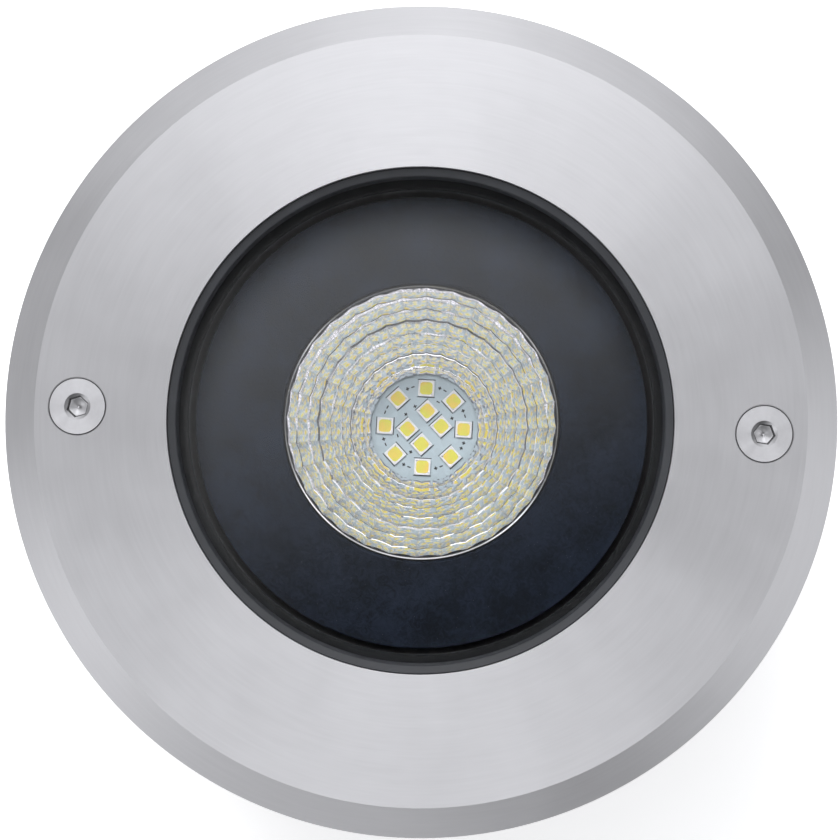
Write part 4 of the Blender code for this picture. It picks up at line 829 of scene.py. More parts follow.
def rounded(shape, edges, width, segments=2):
    """Rounds the edges given."""
    bmesh.ops.bevel(shape, geom=edges, offset=width, offset_type="OFFSET", segments=segments,
                    profile=0.5, affect="EDGES", material=-1, clamp_overlap=True)
    return shape


def softened(shape, width, segments=2, angle=CREASE):
    """Rounds the shape's sharp edges."""
    inner = [edge for edge in shape.edges if len(edge.link_faces) == 2]
    return rounded(shape, [edge for edge in inner if edge.calc_face_angle(0) > angle], width, segments)


def meshed(shape, name):
    """The mesh of a shape, which is used up."""
    mesh = bpy.data.meshes.new(name)
    shape.to_mesh(mesh)
    shape.free()
    return mesh


def added(name, data):
    """A new object in the scene."""
    thing = bpy.data.objects.new(name, data)
    bpy.context.scene.collection.objects.link(thing)
    return thing


def gathered(shapes):
    """Several shapes in one mesh."""
    together = bmesh.new()
    for shape in shapes:
        mesh = meshed(shape, "gathered")
        together.from_mesh(mesh)
        bpy.data.meshes.remove(mesh)
    return together


def repeated(make, places):
    """One shape at each of several places, in one mesh."""
    return gathered([moved(make(), place) for place in places])


def on_circle(radius, number, start=0.0):
    """Moves to equal places on a circle, each turned to face outwards."""
    turns = [Matrix.Rotation(start + math.tau * index / number, 4, "Z") for index in range(number)]
    return [way @ Matrix.Translation((radius, 0, 0)) for way in turns]


def shaped_by(shape, tool, operation):
    """The shape after a tool is added to it or cut from it."""
    thing = added("work", meshed(shape, "work"))
    guide = added("tool", meshed(tool, "tool"))
    modifier = thing.modifiers.new("shaping", "BOOLEAN")
    modifier.operation = operation
    modifier.solver = "EXACT"
    modifier.object = guide
    depsgraph = bpy.context.evaluated_depsgraph_get()
    result = bmesh.new()
    result.from_object(thing, depsgraph)
    for used in (thing, guide):
        mesh = used.data
        bpy.data.objects.remove(used)
        bpy.data.meshes.remove(mesh)
    return result


def piece(name, shape, body, nodes, slot, finish=None, crease=CREASE):
    """A finished piece that rides on a body and stands for the frame's nodes."""
    mesh = meshed(shape, name)
    mesh.shade_smooth()
    mesh.set_sharp_from_angle(angle=crease)
    for face in mesh.polygons:
        face.use_smooth = abs(face.normal.z) < LEVEL
    mesh.materials.append(finish or FINISHES[slot])
    thing = added(name, mesh)
    weighted = thing.modifiers.new("flat_faces", "WEIGHTED_NORMAL")
    weighted.weight = FLAT_FACE_WEIGHT
    weighted.keep_sharp = True
    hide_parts(*nodes)
    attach(thing, body)
    return thing


class GROUND_LIGHT_OT_finishes(bpy.types.Operator):
    """Makes the finishes and puts them on the frame's own nodes"""

    bl_idname = "ground_light.finishes"
    bl_label = "Finishes"

    def execute(self, context):
        make_finishes()
        for subpart in frame["record"]["subparts"]:
            for material_slot in frame["nodes"][subpart["node"]].material_slots:
                material_slot.material = FINISHES[subpart["material_slot"]]
        return {"FINISHED"}


class GROUND_LIGHT_OT_face_ring(bpy.types.Operator):
    """Turns the face ring, with its chamfer, countersinks and threaded pillars"""

    bl_idname = "ground_light.face_ring"
    bl_label = "Face ring"

    def execute(self, context):
        ring, screw = looks().ring, looks().screw
        level, top, radius = ground(), ring_top(), half_width("face_ring")
        outline = [
            (ring.opening, top - ring.lip),
            (ring.seat, top - ring.lip),
            (ring.seat, level + ring.recess),
            (ring.foot, level + ring.recess),
            (ring.foot, level),
            (radius, level),
            (radius, level + ring.rim_height),
            (radius - ring.chamfer, top),
            (ring.opening, top),
        ]
        shape = softened(lathe(outline, RING_STEPS), ring.edge)
        foot = ends("face_ring")[0]
        places = on_circle(ring.pillar_circle, ring.pillar_count, ring.pillar_turn)
        crown = level + ring.recess + ring.edge
        pillars = repeated(lambda: rod(ring.pillar_radius, foot, crown), places)
        shape = shaped_by(shape, pillars, "UNION")
        bore = screw.shank + ring.edge
        cone = [
            (0, level - ring.height),
            (bore, level - ring.height),
            (bore, top - screw.hole + screw.shank),
            (screw.hole, top),
            (screw.hole + ring.height, top + ring.height),
            (0, top + ring.height),
        ]
        cuts = repeated(lambda: lathe(cone, SMALL_STEPS, closed=False), on_circle(screw.circle, 2))
        shape = shaped_by(shape, cuts, "DIFFERENCE")
        piece("turned_face_ring", shape, "luminaire", ["face_ring"], "brushed_steel")
        return {"FINISHED"}


def hexagon_reach(angle, across):
    """Distance from a hexagon's middle to its outline."""
    sector = math.tau / 6
    return across / 2 / math.cos((angle + sector / 2) % sector - sector / 2)


def socketed(shape, across, key_turn=0.0):
    """Moves a socket's round walls out to its hexagon; gives their vertices, each with its new reach."""
    placed = []
    for vert in shape.verts:
        if abs(math.hypot(vert.co.x, vert.co.y) - across / 2) < MERGE:
            angle = math.atan2(vert.co.y, vert.co.x)
            reach = hexagon_reach(angle - key_turn, across)
            vert.co.x, vert.co.y = reach * math.cos(angle), reach * math.sin(angle)
            placed.append((vert, reach))
    return placed


def thread(core, crest, pitch, low, high, steps=THREAD_STEPS):
    """A right-handed thread: a ridge wound round its core."""
    shape = bmesh.new()
    turns = (high - low) / pitch - 1
    foot = core - pitch * SUNK_SHARE
    corners = zip((foot, crest, crest, foot), RIDGE_SHARES)
    verts = [shape.verts.new((radius, 0, low + pitch * way)) for radius, way in corners]
    start = shape.faces.new(verts)
    bmesh.ops.spin(shape, geom=[start, *start.edges, *verts], cent=(0, 0, 0), axis=(0, 0, 1),
                   dvec=(0, 0, pitch / steps), angle=math.tau * turns, steps=round(turns * steps),
                   use_merge=False)
    bmesh.ops.remove_doubles(shape, verts=shape.verts, dist=MERGE)
    bmesh.ops.recalc_face_normals(shape, faces=shape.faces)
    return shape


def face_screw(key_turn):
    """A countersunk face screw on the Z axis: head with a hexagon socket, core and thread."""
    screw = looks().screw
    top = ring_top() - screw.sunk
    edge = top - screw.edge
    neck = edge - screw.head + screw.shank
    end = ends("face_screw_left")[0]
    floor = top - screw.depth
    flat = screw.key / 2
    tip = screw.shank - screw.core
    outline = [
        (0, end),
        (screw.core - tip, end),
        (screw.core, end + tip),
        (screw.core, neck - screw.pitch),
        (screw.shank, neck),
        (screw.head, edge),
        (screw.head - screw.edge / 2, top),
        (screw.mouth, top),
        (flat, top - (screw.mouth - flat) * screw.mouth_slope),
        (flat, floor),
        (screw.floor_cone, floor),
        (screw.dimple, floor - (screw.floor_cone - screw.dimple) * screw.floor_slope),
        (0, floor - screw.floor_cone * screw.floor_slope - screw.dimple / 2),
    ]
    shape = lathe(outline, SMALL_STEPS, closed=False)
    for vert, reach in socketed(shape, screw.key, key_turn):
        if vert.co.z > floor + MERGE:
            vert.co.z = top - (screw.mouth - reach) * screw.mouth_slope
    return gathered([shape, thread(screw.core, screw.shank, screw.pitch, end, neck - screw.pitch)])


def tube(node, bore, edge, steps=SMALL_STEPS):
    """A plain tube or washer as long and as wide as a node."""
    (low, high), outside = ends(node), half_width(node)
    shape = lathe([(bore, low), (outside, low), (outside, high), (bore, high)], steps)
    return moved(softened(shape, edge), upright(node))


class GROUND_LIGHT_OT_face_screws(bpy.types.Operator):
    """Makes the two face screws and the washers that keep them captive"""

    bl_idname = "ground_light.face_screws"
    bl_label = "Face screws"

    def execute(self, context):
        screw = looks().screw
        for side, sign, key_turn in (("left", -1, screw.key_left), ("right", 1, screw.key_right)):
            centre = Vector((sign * screw.circle, 0, 0))
            dark = socket_shadow(key_turn)
            finish = turned_steel("turned_screw_" + side, centre, dark, strokes=3.0, pull=0.3)
            shape = moved(face_screw(key_turn), Matrix.Translation(centre))
            node = "face_screw_" + side
            piece("countersunk_screw_" + side, shape, "screw_" + side, [node], "brushed_steel", finish)
            washer = "screw_retainer_" + side
            shape = tube(washer, screw.shank + looks().ring.edge, looks().ring.edge, WASHER_STEPS)
            piece("captive_washer_" + side, shape, "retainer_" + side, [washer], "nylon")
        return {"FINISHED"}


class GROUND_LIGHT_OT_glass(bpy.types.Operator):
    """Turns the cover glass and its rubber gasket"""

    bl_idname = "ground_light.glass"
    bl_label = "Glass and gasket"

    def execute(self, context):
        glass, ring = looks().glass, looks().ring
        (low, high), radius = ends("glass"), half_width("glass")
        shape = softened(disc(radius, low, high, GLASS_STEPS), glass.bevel, 3)
        piece("cover_glass", shape, "luminaire", ["glass"], "clear_glass")
        foot, crest = ends("glass_gasket")
        outside = half_width("glass_gasket")
        gap = (outside - radius) / 8
        leg_top = high + gap + glass.leg
        bead_out = ring.opening - glass.bead_space
        bead_in = bead_out - glass.bead
        land = glass.bead - glass.nose
        outline = [(glass.bore, foot), (outside, foot), (outside, leg_top), (bead_out, leg_top)]
        outline += [(bead_out, crest - glass.nose / 4), (bead_out - glass.nose / 4, crest)]
        for step in range(glass.nose_steps + 1):
            bend = math.pi / 2 * (1 + step / glass.nose_steps)
            reach = bead_out - land + glass.nose * math.cos(bend)
            outline.append((reach, crest - land * glass.fall - glass.nose + glass.nose * math.sin(bend)))
        toe = bead_in - glass.bead / 5
        outline += [(toe, high + gap), (radius + gap, high + gap), (radius + gap, low - gap)]
        outline += [(glass.bore + glass.leg / 2, low - gap), (glass.bore, low - gap - glass.leg / 2)]
        shape = softened(lathe(outline, GLASS_STEPS), ring.edge, angle=GASKET_CREASE)
        piece("channel_gasket", shape, "luminaire", ["glass_gasket"], "gasket_rubber")
        return {"FINISHED"}


class GROUND_LIGHT_OT_trim_plate(bpy.types.Operator):
    """Makes the grained trim plate with its pillars"""

    bl_idname = "ground_light.trim_plate"
    bl_label = "Trim plate"

    def execute(self, context):
        plate = looks().plate
        foot, top = ends("reflector_plate")
        outer = half_width("reflector_plate")
        inner, under = plate_hole(), top - plate.thickness
        outline = [(inner, under), (outer, under), (outer, top), (inner, top)]
        shape = softened(lathe(outline, GLASS_STEPS), plate.edge, 3)
        places = on_circle(plate.pillar_circle, plate.pillar_count, math.tau / 4)
        pillars = repeated(lambda: rod(plate.pillar_radius, foot, top - plate.thickness / 2), places)
        shape = shaped_by(shape, pillars, "UNION")
        piece("grained_trim_plate", shape, "luminaire", ["reflector_plate"], "black_plate")
        return {"FINISHED"}


def cup_point(way):
    """Radius and height of the reflector's face at a share of the way from window to rim."""
    cup = looks().reflector
    window, rim = cup.window, cup.window + cup.reach
    top = ends("reflector")[1]
    radius = window + cup.reach * way
    rise = (radius ** 2 - window ** 2) / (rim ** 2 - window ** 2)
    return Vector((radius, top - cup.depth * (1 - rise)))


def cup_profile():
    """The reflector's face from rim to window: a ledge under each tier, a lip on each row."""
    cup = looks().reflector
    lip_share = cup.lip / cup.reach
    points = []
    for tier in TIER_ROW_SHARES:
        for outer, inner in zip(tier, tier[1:]):
            start = cup_point(outer)
            if points:
                above = points[-1]
                low = start.y - cup.lip * cup.lip_slope
                ledge = above.x - start.x - cup.lip
                if ledge > cup.lip:
                    points.append(Vector((above.x, low + ledge * cup.ledge_slope)))
                    points.append(Vector((start.x + cup.lip, low)))
                else:
                    points.append(Vector((above.x, low)))
            end = cup_point(inner if inner == tier[-1] else inner + lip_share)
            slope = end - start
            inward = Vector((slope.y, -slope.x)).normalized()
            for step in range(cup.steps_along + 1):
                along = step / cup.steps_along
                swell = slope.length * cup.pillow_along * (1 - (2 * along - 1) ** 2)
                points.append(start + slope * along + inward * swell)
    return points


class GROUND_LIGHT_OT_reflector(bpy.types.Operator):
    """Makes the mirror cup: three stepped tiers of pillowed facets with a plain back"""

    bl_idname = "ground_light.reflector"
    bl_label = "Reflector"

    def execute(self, context):
        cup, plate = looks().reflector, looks().plate
        profile = cup_profile()
        foot, top = ends("reflector")
        rim = cup.window + cup.reach
        plate_bottom = ends("reflector_plate")[1] - plate.thickness
        flange_top = plate_bottom - plate.flange_gap
        flange_edge = half_width("reflector")
        back = [(cup.window, foot), (cup.window + cup.skin, foot)]
        for way in BACK_SHARES:
            spot = cup_point(way)
            back.append((spot.x + cup.skin, spot.y - cup.skin))
        brim_edge = rim + cup.groove + cup.brim
        brim_foot = top - cup.wall - cup.brim * cup.ledge_slope
        back += [(brim_edge, flange_top - cup.flange), (flange_edge, flange_top - cup.flange)]
        back += [(flange_edge, flange_top), (brim_edge, flange_top), (brim_edge, top - cup.wall)]
        back += [(rim + cup.groove, brim_foot), (rim + cup.wall / 2, brim_foot - cup.groove)]
        shape = spun([tuple(point) for point in profile] + back, cup.columns * cup.steps_across)
        sector = math.tau / cup.columns
        for vert in shape.verts:
            radius = math.hypot(vert.co.x, vert.co.y)
            if radius > rim + cup.wall / 2:
                continue
            angle = math.atan2(vert.co.y, vert.co.x)
            across = ((angle / sector) % 1) * 2 - 1
            corner = math.floor(angle / sector)
            stray = []
            for number in (corner, corner + 1):
                spot = Vector((number % cup.columns * math.e, vert.co.z * cup.spacing, 0))
                stray.append(noise.noise(spot) * cup.unevenness)
            width = radius * sector
            flat = radius * (math.cos(sector / 2) / math.cos(across * sector / 2) - 1)
            swell = -width * cup.pillow_across * (1 - across ** 2)
            left, right = stray[0] * (1 - across) / 2, stray[1] * (1 + across) / 2
            change = 1 + (flat + swell + left + right) / radius
            vert.co.x *= change
            vert.co.y *= change
        bmesh.ops.recalc_face_normals(shape, faces=shape.faces)
        # Down-facing faces, the cup's back, take black moulding; so do the groove, outer wall and flange
        # outside the rim, as painted shade in the gap round the rim
        for face in shape.faces:
            spot = face.calc_center_median()
            radius = math.hypot(spot.x, spot.y)
            brim = radius > rim + cup.groove and spot.z > brim_foot and face.normal.z > cup.groove_shade
            outside = radius > rim + cup.wall / 5
            face.material_index = int(face.normal.z < 0 or outside and not brim)
        thing = piece("faceted_reflector", shape, "luminaire", ["reflector"], "reflector_mirror",
                      crease=cup.crease)
        # Black moulding for the back, which also serves as painted shade in the groove round the rim
        thing.data.materials.append(plain_finish("cup_back_and_painted_groove_shade", looks().finish.moulding, 1400.0, 0.5))
        return {"FINISHED"}


def light_turn(number, centre):
    """Turn of a light source about Z, from its number and its place."""
    light = looks().light
    if number <= light.ring_count:
        return math.atan2(centre.y, centre.x)
    return light.cluster_turn - math.tau / 8


def top_face(shape):
    """The highest face of a shape."""
    return max(shape.faces, key=lambda face: face.calc_center_median().z)


def rounded_block(width, low, high, corner, edge):
    """A square block with round upright edges and a softened top."""
    shape = block((-width / 2, -width / 2, low), (width / 2, width / 2, high))
    rise = (high - low) / 2
    corners = [side for side in shape.edges if abs(side.verts[0].co.z - side.verts[1].co.z) > rise]
    rounded(shape, corners, corner, 4)
    return rounded(shape, top_face(shape).edges[:], edge)


def light_package(side, low, high):
    """A light source: the white package with a round-cornered phosphor let into its top."""
    light = looks().light
    package = rounded_block(side, low, high, light.mark_width, light.recess)
    top = top_face(package)
    well = (side - light.emitter) / 2 - light.recess * 2
    bmesh.ops.inset_region(package, faces=[top], thickness=well, depth=0)
    bmesh.ops.inset_region(package, faces=[top], thickness=light.recess, depth=-light.recess * 2)
    foot, crest = high - light.recess * 3, high - light.recess
    phosphor = rounded_block(light.emitter, foot, crest, light.corner, light.recess / 2)
    for face in phosphor.faces:
        face.material_index = 1
    return gathered([package, phosphor])


class GROUND_LIGHT_OT_light_sources(bpy.types.Operator):
    """Makes the circuit board, its print and the twelve light sources"""

    bl_idname = "ground_light.light_sources"
    bl_label = "Light sources"

    def execute(self, context):
        light, finish = looks().light, looks().finish
        low, high = ends("led_board")
        shape = softened(disc(half_width("led_board"), low, high, BOARD_STEPS), light.mark_width)
        piece("circuit_board", shape, "luminaire", ["led_board"], "board_white")
        package = plain_finish("package", finish.package, 1500.0, 0.4, spread=0.05)
        numbers = [node for node in frame["nodes"] if node.startswith("led_") and node[4:].isdigit()]
        prints = []
        for node in sorted(numbers, key=lambda name: int(name[4:])):
            number = int(node[4:])
            place = upright(node) @ Matrix.Rotation(light_turn(number, middle(node)), 4, "Z")
            shape = moved(light_package(light.side, *ends(node)), place)
            thing = piece(f"light_source_{number}", shape, "luminaire", [node], "led_phosphor", package)
            thing.data.materials.append(FINISHES["led_phosphor"])
            prints += package_lines(light.side, high, place)
        ink = plain_finish("ink", finish.ink, 1500.0, 0.5)
        prints += board_marks(high)
        piece("board_print", gathered(prints), "luminaire", [], "board_white", ink)
        return {"FINISHED"}


def package_lines(side, level, place):
    """The printed lines on two sides of a light source."""
    light = looks().light
    reach = side / 2 + light.mark_width * 0.6
    line = light.mark_width / 3
    lines = []
    for sign in (1, -1):
        low = (sign * reach - line, -side * light.line_share / 2, level)
        high = (sign * reach + line, side * light.line_share / 2, level + light.print_height)
        lines.append(moved(block(low, high), place))
    return lines


def polarity_mark(kind, radius, angle, level):
    """A printed plus or minus at a place on the board, in line with the circle round the middle."""
    light = looks().light
    half, thick, top = light.mark / 2, light.mark_width / 2, level + light.print_height
    marks = [block((-thick, -half, level), (thick, half, top))]
    if kind == "+":
        marks.append(block((-half, -thick, level), (half, thick, top)))
    place = Matrix.Rotation(angle, 4, "Z") @ Matrix.Translation((radius, 0, 0))
    return [moved(mark, place) for mark in marks]


def board_marks(level):
    """The pluses and minuses between the light sources."""
    light = looks().light
    marks = []
    gap = math.tau / light.ring_count
    for number, pair in enumerate(RING_MARKS):
        middle_angle = light.cluster_turn + gap * (2.5 - number)
        for side, kind in zip((1, -1), pair):
            marks += polarity_mark(kind, light.mark_circle, middle_angle + side * light.mark_turn, level)
    for kind, reach, degrees in INNER_MARK_SHARES:
        marks += polarity_mark(kind, light.mark_circle * reach, math.radians(degrees), level)
    return marks


class GROUND_LIGHT_OT_housing(bpy.types.Operator):
    """Makes the cast housing with its fins, its holes on the circle of pillars, and the holes for the gland
    and vent
    """

    bl_idname = "ground_light.housing"
    bl_label = "Housing"

    def execute(self, context):
        housing, ring = looks().housing, looks().ring
        bottom, top = ends("housing")
        flange = half_width("housing")
        under = top - housing.flange
        ledge = top - housing.ledge
        shoulder = ledge - housing.ledge_depth
        barrel = housing.bore + housing.wall
        chamber = housing.chamber + housing.chamber_wall
        outline = [
            (0, bottom),
            (chamber, bottom),
            (chamber, shoulder - housing.wall),
            (barrel, shoulder),
            (barrel, under),
            (flange, under),
            (flange, top),
            (housing.bore, top),
            (housing.bore, ledge),
            (housing.chamber, ledge),
            (housing.chamber, bottom + housing.floor),
            (0, bottom + housing.floor),
        ]
        shape = softened(lathe(outline, closed=False), housing.edge, angle=HOUSING_CREASE)
        tip = flange - housing.fin_inset
        root = housing.chamber + housing.chamber_wall / 2
        fins = []
        for place in on_circle(0, housing.fin_count):
            fin = block((root, -0.5, bottom), (tip, 0.5, under - housing.fin_drop))
            for vert in fin.verts:
                thick = housing.fin if vert.co.x > (root + tip) / 2 else housing.fin_root
                vert.co.y *= thick
            fins.append(moved(softened(fin, housing.edge), place))
        shape = shaped_by(shape, gathered(fins), "UNION")
        fitting, core = looks().fitting, looks().screw.core
        places = on_circle(ring.pillar_circle, ring.pillar_count, ring.pillar_turn)
        low, high = under - housing.edge, top + housing.edge
        cuts = [repeated(lambda: rod(core, low, high, THREAD_STEPS), places)]
        for node, radius in (("gland_body", fitting.gland_thread), ("vent_plug", fitting.vent_thread)):
            hole = rod(radius, bottom - housing.edge, bottom + housing.floor + housing.edge)
            cuts.append(moved(hole, upright(node)))
        hollow = [
            (0, bottom + housing.floor),
            (housing.chamber, bottom + housing.floor),
            (housing.chamber, ledge),
            (housing.bore, ledge),
            (housing.bore, high),
            (0, high),
        ]
        shape = shaped_by(shape, lathe(hollow, closed=False), "DIFFERENCE")
        shape = shaped_by(shape, gathered(cuts), "DIFFERENCE")
        piece("finned_housing", shape, "luminaire", ["housing"], "cast_aluminium")
        return {"FINISHED"}


class GROUND_LIGHT_OT_sleeve(bpy.types.Operator):
    """Makes the ground sleeve with its ribs, cable entries, bosses and drains"""

    bl_idname = "ground_light.sleeve"
    bl_label = "Sleeve"

    def execute(self, context):
        sleeve, screw = looks().sleeve, looks().screw
        top = ends("sleeve")[1]
        under = top - sleeve.flange_thickness
        outline = [
            (0, 0),
            (sleeve.radius, 0),
            (sleeve.radius, under),
            (sleeve.flange, under),
            (sleeve.flange, top),
            (sleeve.radius - sleeve.wall, top),
            (sleeve.radius - sleeve.wall, sleeve.base),
            (0, sleeve.base),
        ]
        shape = softened(lathe(outline, closed=False), sleeve.edge, 3)
        rib_top = under - sleeve.rib_margin
        start, half_rib = sleeve.radius - sleeve.wall / 2, sleeve.rib_thickness / 2
        rib_low = (-sleeve.wall / 2, -half_rib, sleeve.rib_margin)
        rib_high = (sleeve.rib_reach, half_rib, rib_top)
        places = on_circle(sleeve.radius, sleeve.rib_count, math.tau / sleeve.rib_count / 2)
        ribs = repeated(lambda: softened(block(rib_low, rib_high), sleeve.edge), places)
        shape = shaped_by(shape, ribs, "UNION")
        band_low = (sleeve.rib_margin + rib_top) / 2
        band_high = band_low + sleeve.band
        reach = sleeve.radius + sleeve.rib_reach / 2
        band = [(start, band_low), (reach, band_low), (reach, band_high), (start, band_high)]
        shape = shaped_by(shape, softened(lathe(band), sleeve.edge), "UNION")
        lift = Matrix.Translation((0, 0, sleeve.conduit_height))
        ways = [lift @ Matrix.Rotation(bend, 4, "X") for bend in (-math.tau / 4, math.tau / 4)]
        mouth = sleeve.radius + sleeve.conduit_reach
        outer, bore = sleeve.conduit + sleeve.conduit_wall, sleeve.radius - sleeve.wall
        back = start - outer / 2
        tubes = repeated(lambda: softened(rod(outer, back, mouth, SMALL_STEPS), sleeve.edge), ways)
        shape = shaped_by(shape, tubes, "UNION")
        shape = shaped_by(shape, rod(bore, sleeve.base, top - sleeve.edge, BODY_STEPS), "DIFFERENCE")
        insert, (insert_low, insert_high) = half_width("insert_left"), ends("insert_left")
        boss_low, gap = insert_low - sleeve.base, sleeve.edge / 2
        places = on_circle(screw.circle, 2)
        bosses = repeated(lambda: softened(rod(sleeve.boss, boss_low, top - gap), sleeve.edge), places)
        shape = shaped_by(shape, bosses, "UNION")
        washer = half_width("screw_retainer_left") + gap
        hole = [
            (0, boss_low + sleeve.base / 2),
            (screw.shank + gap, boss_low + sleeve.base / 2),
            (screw.shank + gap, insert_low),
            (insert, insert_low),
            (insert, insert_high),
            (washer, insert_high),
            (washer, top + sleeve.edge),
            (0, top + sleeve.edge),
        ]
        drains = on_circle((sleeve.drain + bore) / 2, sleeve.drain_count, math.tau / 8)
        cuts = [
            repeated(lambda: lathe(hole, HOLE_STEPS, closed=False), places),
            repeated(lambda: rod(sleeve.conduit, back, mouth + sleeve.edge, SMALL_STEPS), ways),
            rod(sleeve.drain, -sleeve.base, sleeve.base * 2, SMALL_STEPS),
            repeated(lambda: rod(sleeve.drain_hole, -sleeve.base, sleeve.base * 2), drains),
        ]
        shape = shaped_by(shape, gathered(cuts), "DIFFERENCE")
        piece("ribbed_sleeve", shape, "sleeve", ["sleeve"], "sleeve_plastic")
        return {"FINISHED"}


def hexagonal(outline, across, low, high):
    """A turned ring with six flats, two of them square to X."""
    prism = rod(across / math.sqrt(3), low, high, 6)
    return shaped_by(lathe(outline, HEXAGON_STEPS), prism, "INTERSECT")


def knurled(shape, radius, depth, steps):
    """A turned head with fine grooves round it."""
    for vert in shape.verts:
        reach = math.hypot(vert.co.x, vert.co.y)
        number = round(math.atan2(vert.co.y, vert.co.x) / math.tau * steps)
        if reach > radius - depth and number % 2:
            vert.co.x *= 1 - depth / radius
            vert.co.y *= 1 - depth / radius
    return shape


def flange_bolt(node):
    """A cylinder-head screw with its head down, a knurled side and a hexagon socket."""
    fitting = looks().fitting
    (low, high), head = ends(node), half_width(node)
    under = low + fitting.bolt_head
    flat = fitting.bolt_key / 2
    floor = low + fitting.bolt_head / 2
    edge = fitting.edge
    outline = [
        (0, high),
        (fitting.bolt_shank - edge, high),
        (fitting.bolt_shank, high - edge),
        (fitting.bolt_shank, under),
        (head, under),
        (head, low + edge),
        (head - edge, low),
        (flat + edge * 2, low),
        (flat, low + edge),
        (flat, floor),
        (0, floor + edge),
    ]
    shape = lathe(outline, BOLT_STEPS, closed=False)
    socketed(shape, fitting.bolt_key)
    return moved(knurled(shape, head, fitting.knurl, BOLT_STEPS), upright(node))


def gland_body():
    """The gland's body: thread, hexagon and barrel on one tube."""
    fitting = looks().fitting
    low, high = ends("gland_body")
    seal = half_width("gland_seal") + fitting.gap
    shelf = ends("gland_seal")[1] + fitting.gap
    barrel = seal + fitting.gland_wall
    top = ends("gland_washer")[0] - fitting.gap
    foot = top - fitting.gland_flange
    way = fitting.cable + fitting.gap
    thread_radius = fitting.gland_thread - fitting.gap
    outline = [(thread_radius, high), (thread_radius, foot), (barrel, foot), (barrel, low), (seal, low)]
    outline += [(seal, shelf), (way, shelf), (way, high)]
    barrel_shape = softened(lathe(outline, SMALL_STEPS), fitting.edge)
    half, corner = fitting.gland_across / 2, fitting.gland_across / math.sqrt(3)
    rise = (corner - half) / 2
    outline = [(seal - fitting.gap, foot), (half, foot), (corner, foot + rise), (corner, top - rise)]
    outline += [(half, top), (seal - fitting.gap, top)]
    hexagon = hexagonal(outline, fitting.gland_across, foot - rise, top + rise)
    return moved(shaped_by(barrel_shape, hexagon, "UNION"), upright("gland_body"))


def gland_nut():
    """The gland's domed nut, open round the seal."""
    fitting = looks().fitting
    low, high = ends("gland_nut")
    body_low = ends("gland_body")[0] - fitting.gap
    way = fitting.cable + fitting.gap
    barrel = half_width("gland_seal") + fitting.gap * 2 + fitting.gland_wall
    half, corner = fitting.gland_across / 2, fitting.gland_across / math.sqrt(3)
    mouth = way + fitting.edge * 3
    outline = [(way, low + fitting.edge), (way + fitting.edge, low)]
    for step in range(ARC_STEPS + 1):
        bend = math.pi / 2 * step / ARC_STEPS
        rise = fitting.gland_end * (1 - math.cos(bend))
        outline.append((mouth + (corner - mouth) * math.sin(bend), low + rise))
    outline += [(corner, high - (corner - half) / 2), (half, high), (barrel, high), (barrel, body_low)]
    outline += [(way, body_low)]
    return moved(hexagonal(outline, fitting.gland_across, low - fitting.edge, high + fitting.edge),
                 upright("gland_nut"))


def vent_plug():
    """The vent plug: a knurled head with a slot, and a stem."""
    fitting = looks().fitting
    (low, high), head = ends("vent_plug"), half_width("vent_plug")
    top, edge = low + fitting.vent_head, fitting.edge
    stem = fitting.vent_thread - fitting.gap
    outline = [(0, low), (head - edge * 2, low), (head, low + edge * 2), (head, top - edge)]
    outline += [(head - edge, top), (stem, top), (stem, high), (0, high)]
    shape = knurled(lathe(outline, SMALL_STEPS, closed=False), head, fitting.knurl * 2, SMALL_STEPS)
    slot = block((-head, -fitting.slot / 2, low - edge), (head, fitting.slot / 2, low + fitting.slot))
    return moved(shaped_by(shape, slot, "DIFFERENCE"), upright("vent_plug"))


def blanking_plug():
    """The plug in the unused cable entry: a flanged cap with a grip across its hollow."""
    sleeve, fitting = looks().sleeve, looks().fitting
    low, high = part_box("blanking_plug")
    start, end = -low.y - fitting.plug_cap, -high.y
    stem, cap = sleeve.conduit - fitting.gap, sleeve.conduit + sleeve.conduit_wall
    hollow = sleeve.conduit - sleeve.conduit_wall
    floor = start + fitting.plug_cap - fitting.plug_hollow
    outline = [(0, end), (stem, end), (stem, start), (cap, start), (cap, start + fitting.plug_cap)]
    outline += [(hollow, start + fitting.plug_cap), (hollow, floor), (0, floor)]
    shape = softened(lathe(outline, SMALL_STEPS, closed=False), fitting.edge)
    thick = sleeve.conduit_wall / 2
    grip = block((-hollow - thick, -thick, floor - thick), (hollow + thick, thick, start))
    shape = shaped_by(shape, grip, "UNION")
    lift = Matrix.Translation((0, 0, sleeve.conduit_height))
    return moved(shape, lift @ Matrix.Rotation(math.tau / 4, 4, "X"))


class GROUND_LIGHT_OT_fittings(bpy.types.Operator):
    """Makes the flange screws, cable gland, vent, inserts and blanking plug"""

    bl_idname = "ground_light.fittings"
    bl_label = "Fittings"

    def execute(self, context):
        fitting, screw = looks().fitting, looks().screw
        for node in [node for node in frame["nodes"] if node.startswith("flange_screw_")]:
            piece("cap_" + node, flange_bolt(node), "luminaire", [node], "bolt_steel")
        piece("threaded_gland_body", gland_body(), "luminaire", ["gland_body"], "sleeve_plastic")
        piece("domed_gland_nut", gland_nut(), "luminaire", ["gland_nut"], "sleeve_plastic")
        for node, bore in (("gland_seal", fitting.cable), ("gland_washer", fitting.gland_thread)):
            piece("turned_" + node, tube(node, bore, fitting.edge), "luminaire", [node], "gasket_rubber")
        piece("knurled_vent_plug", vent_plug(), "luminaire", ["vent_plug"], "sleeve_plastic")
        for node in ("insert_left", "insert_right"):
            shape = tube(node, screw.shank + fitting.gap, fitting.edge)
            piece("threaded_" + node, shape, "sleeve", [node], "insert_brass")
        piece("flanged_blanking_plug", blanking_plug(), "sleeve", ["blanking_plug"], "sleeve_plastic")
        return {"FINISHED"}


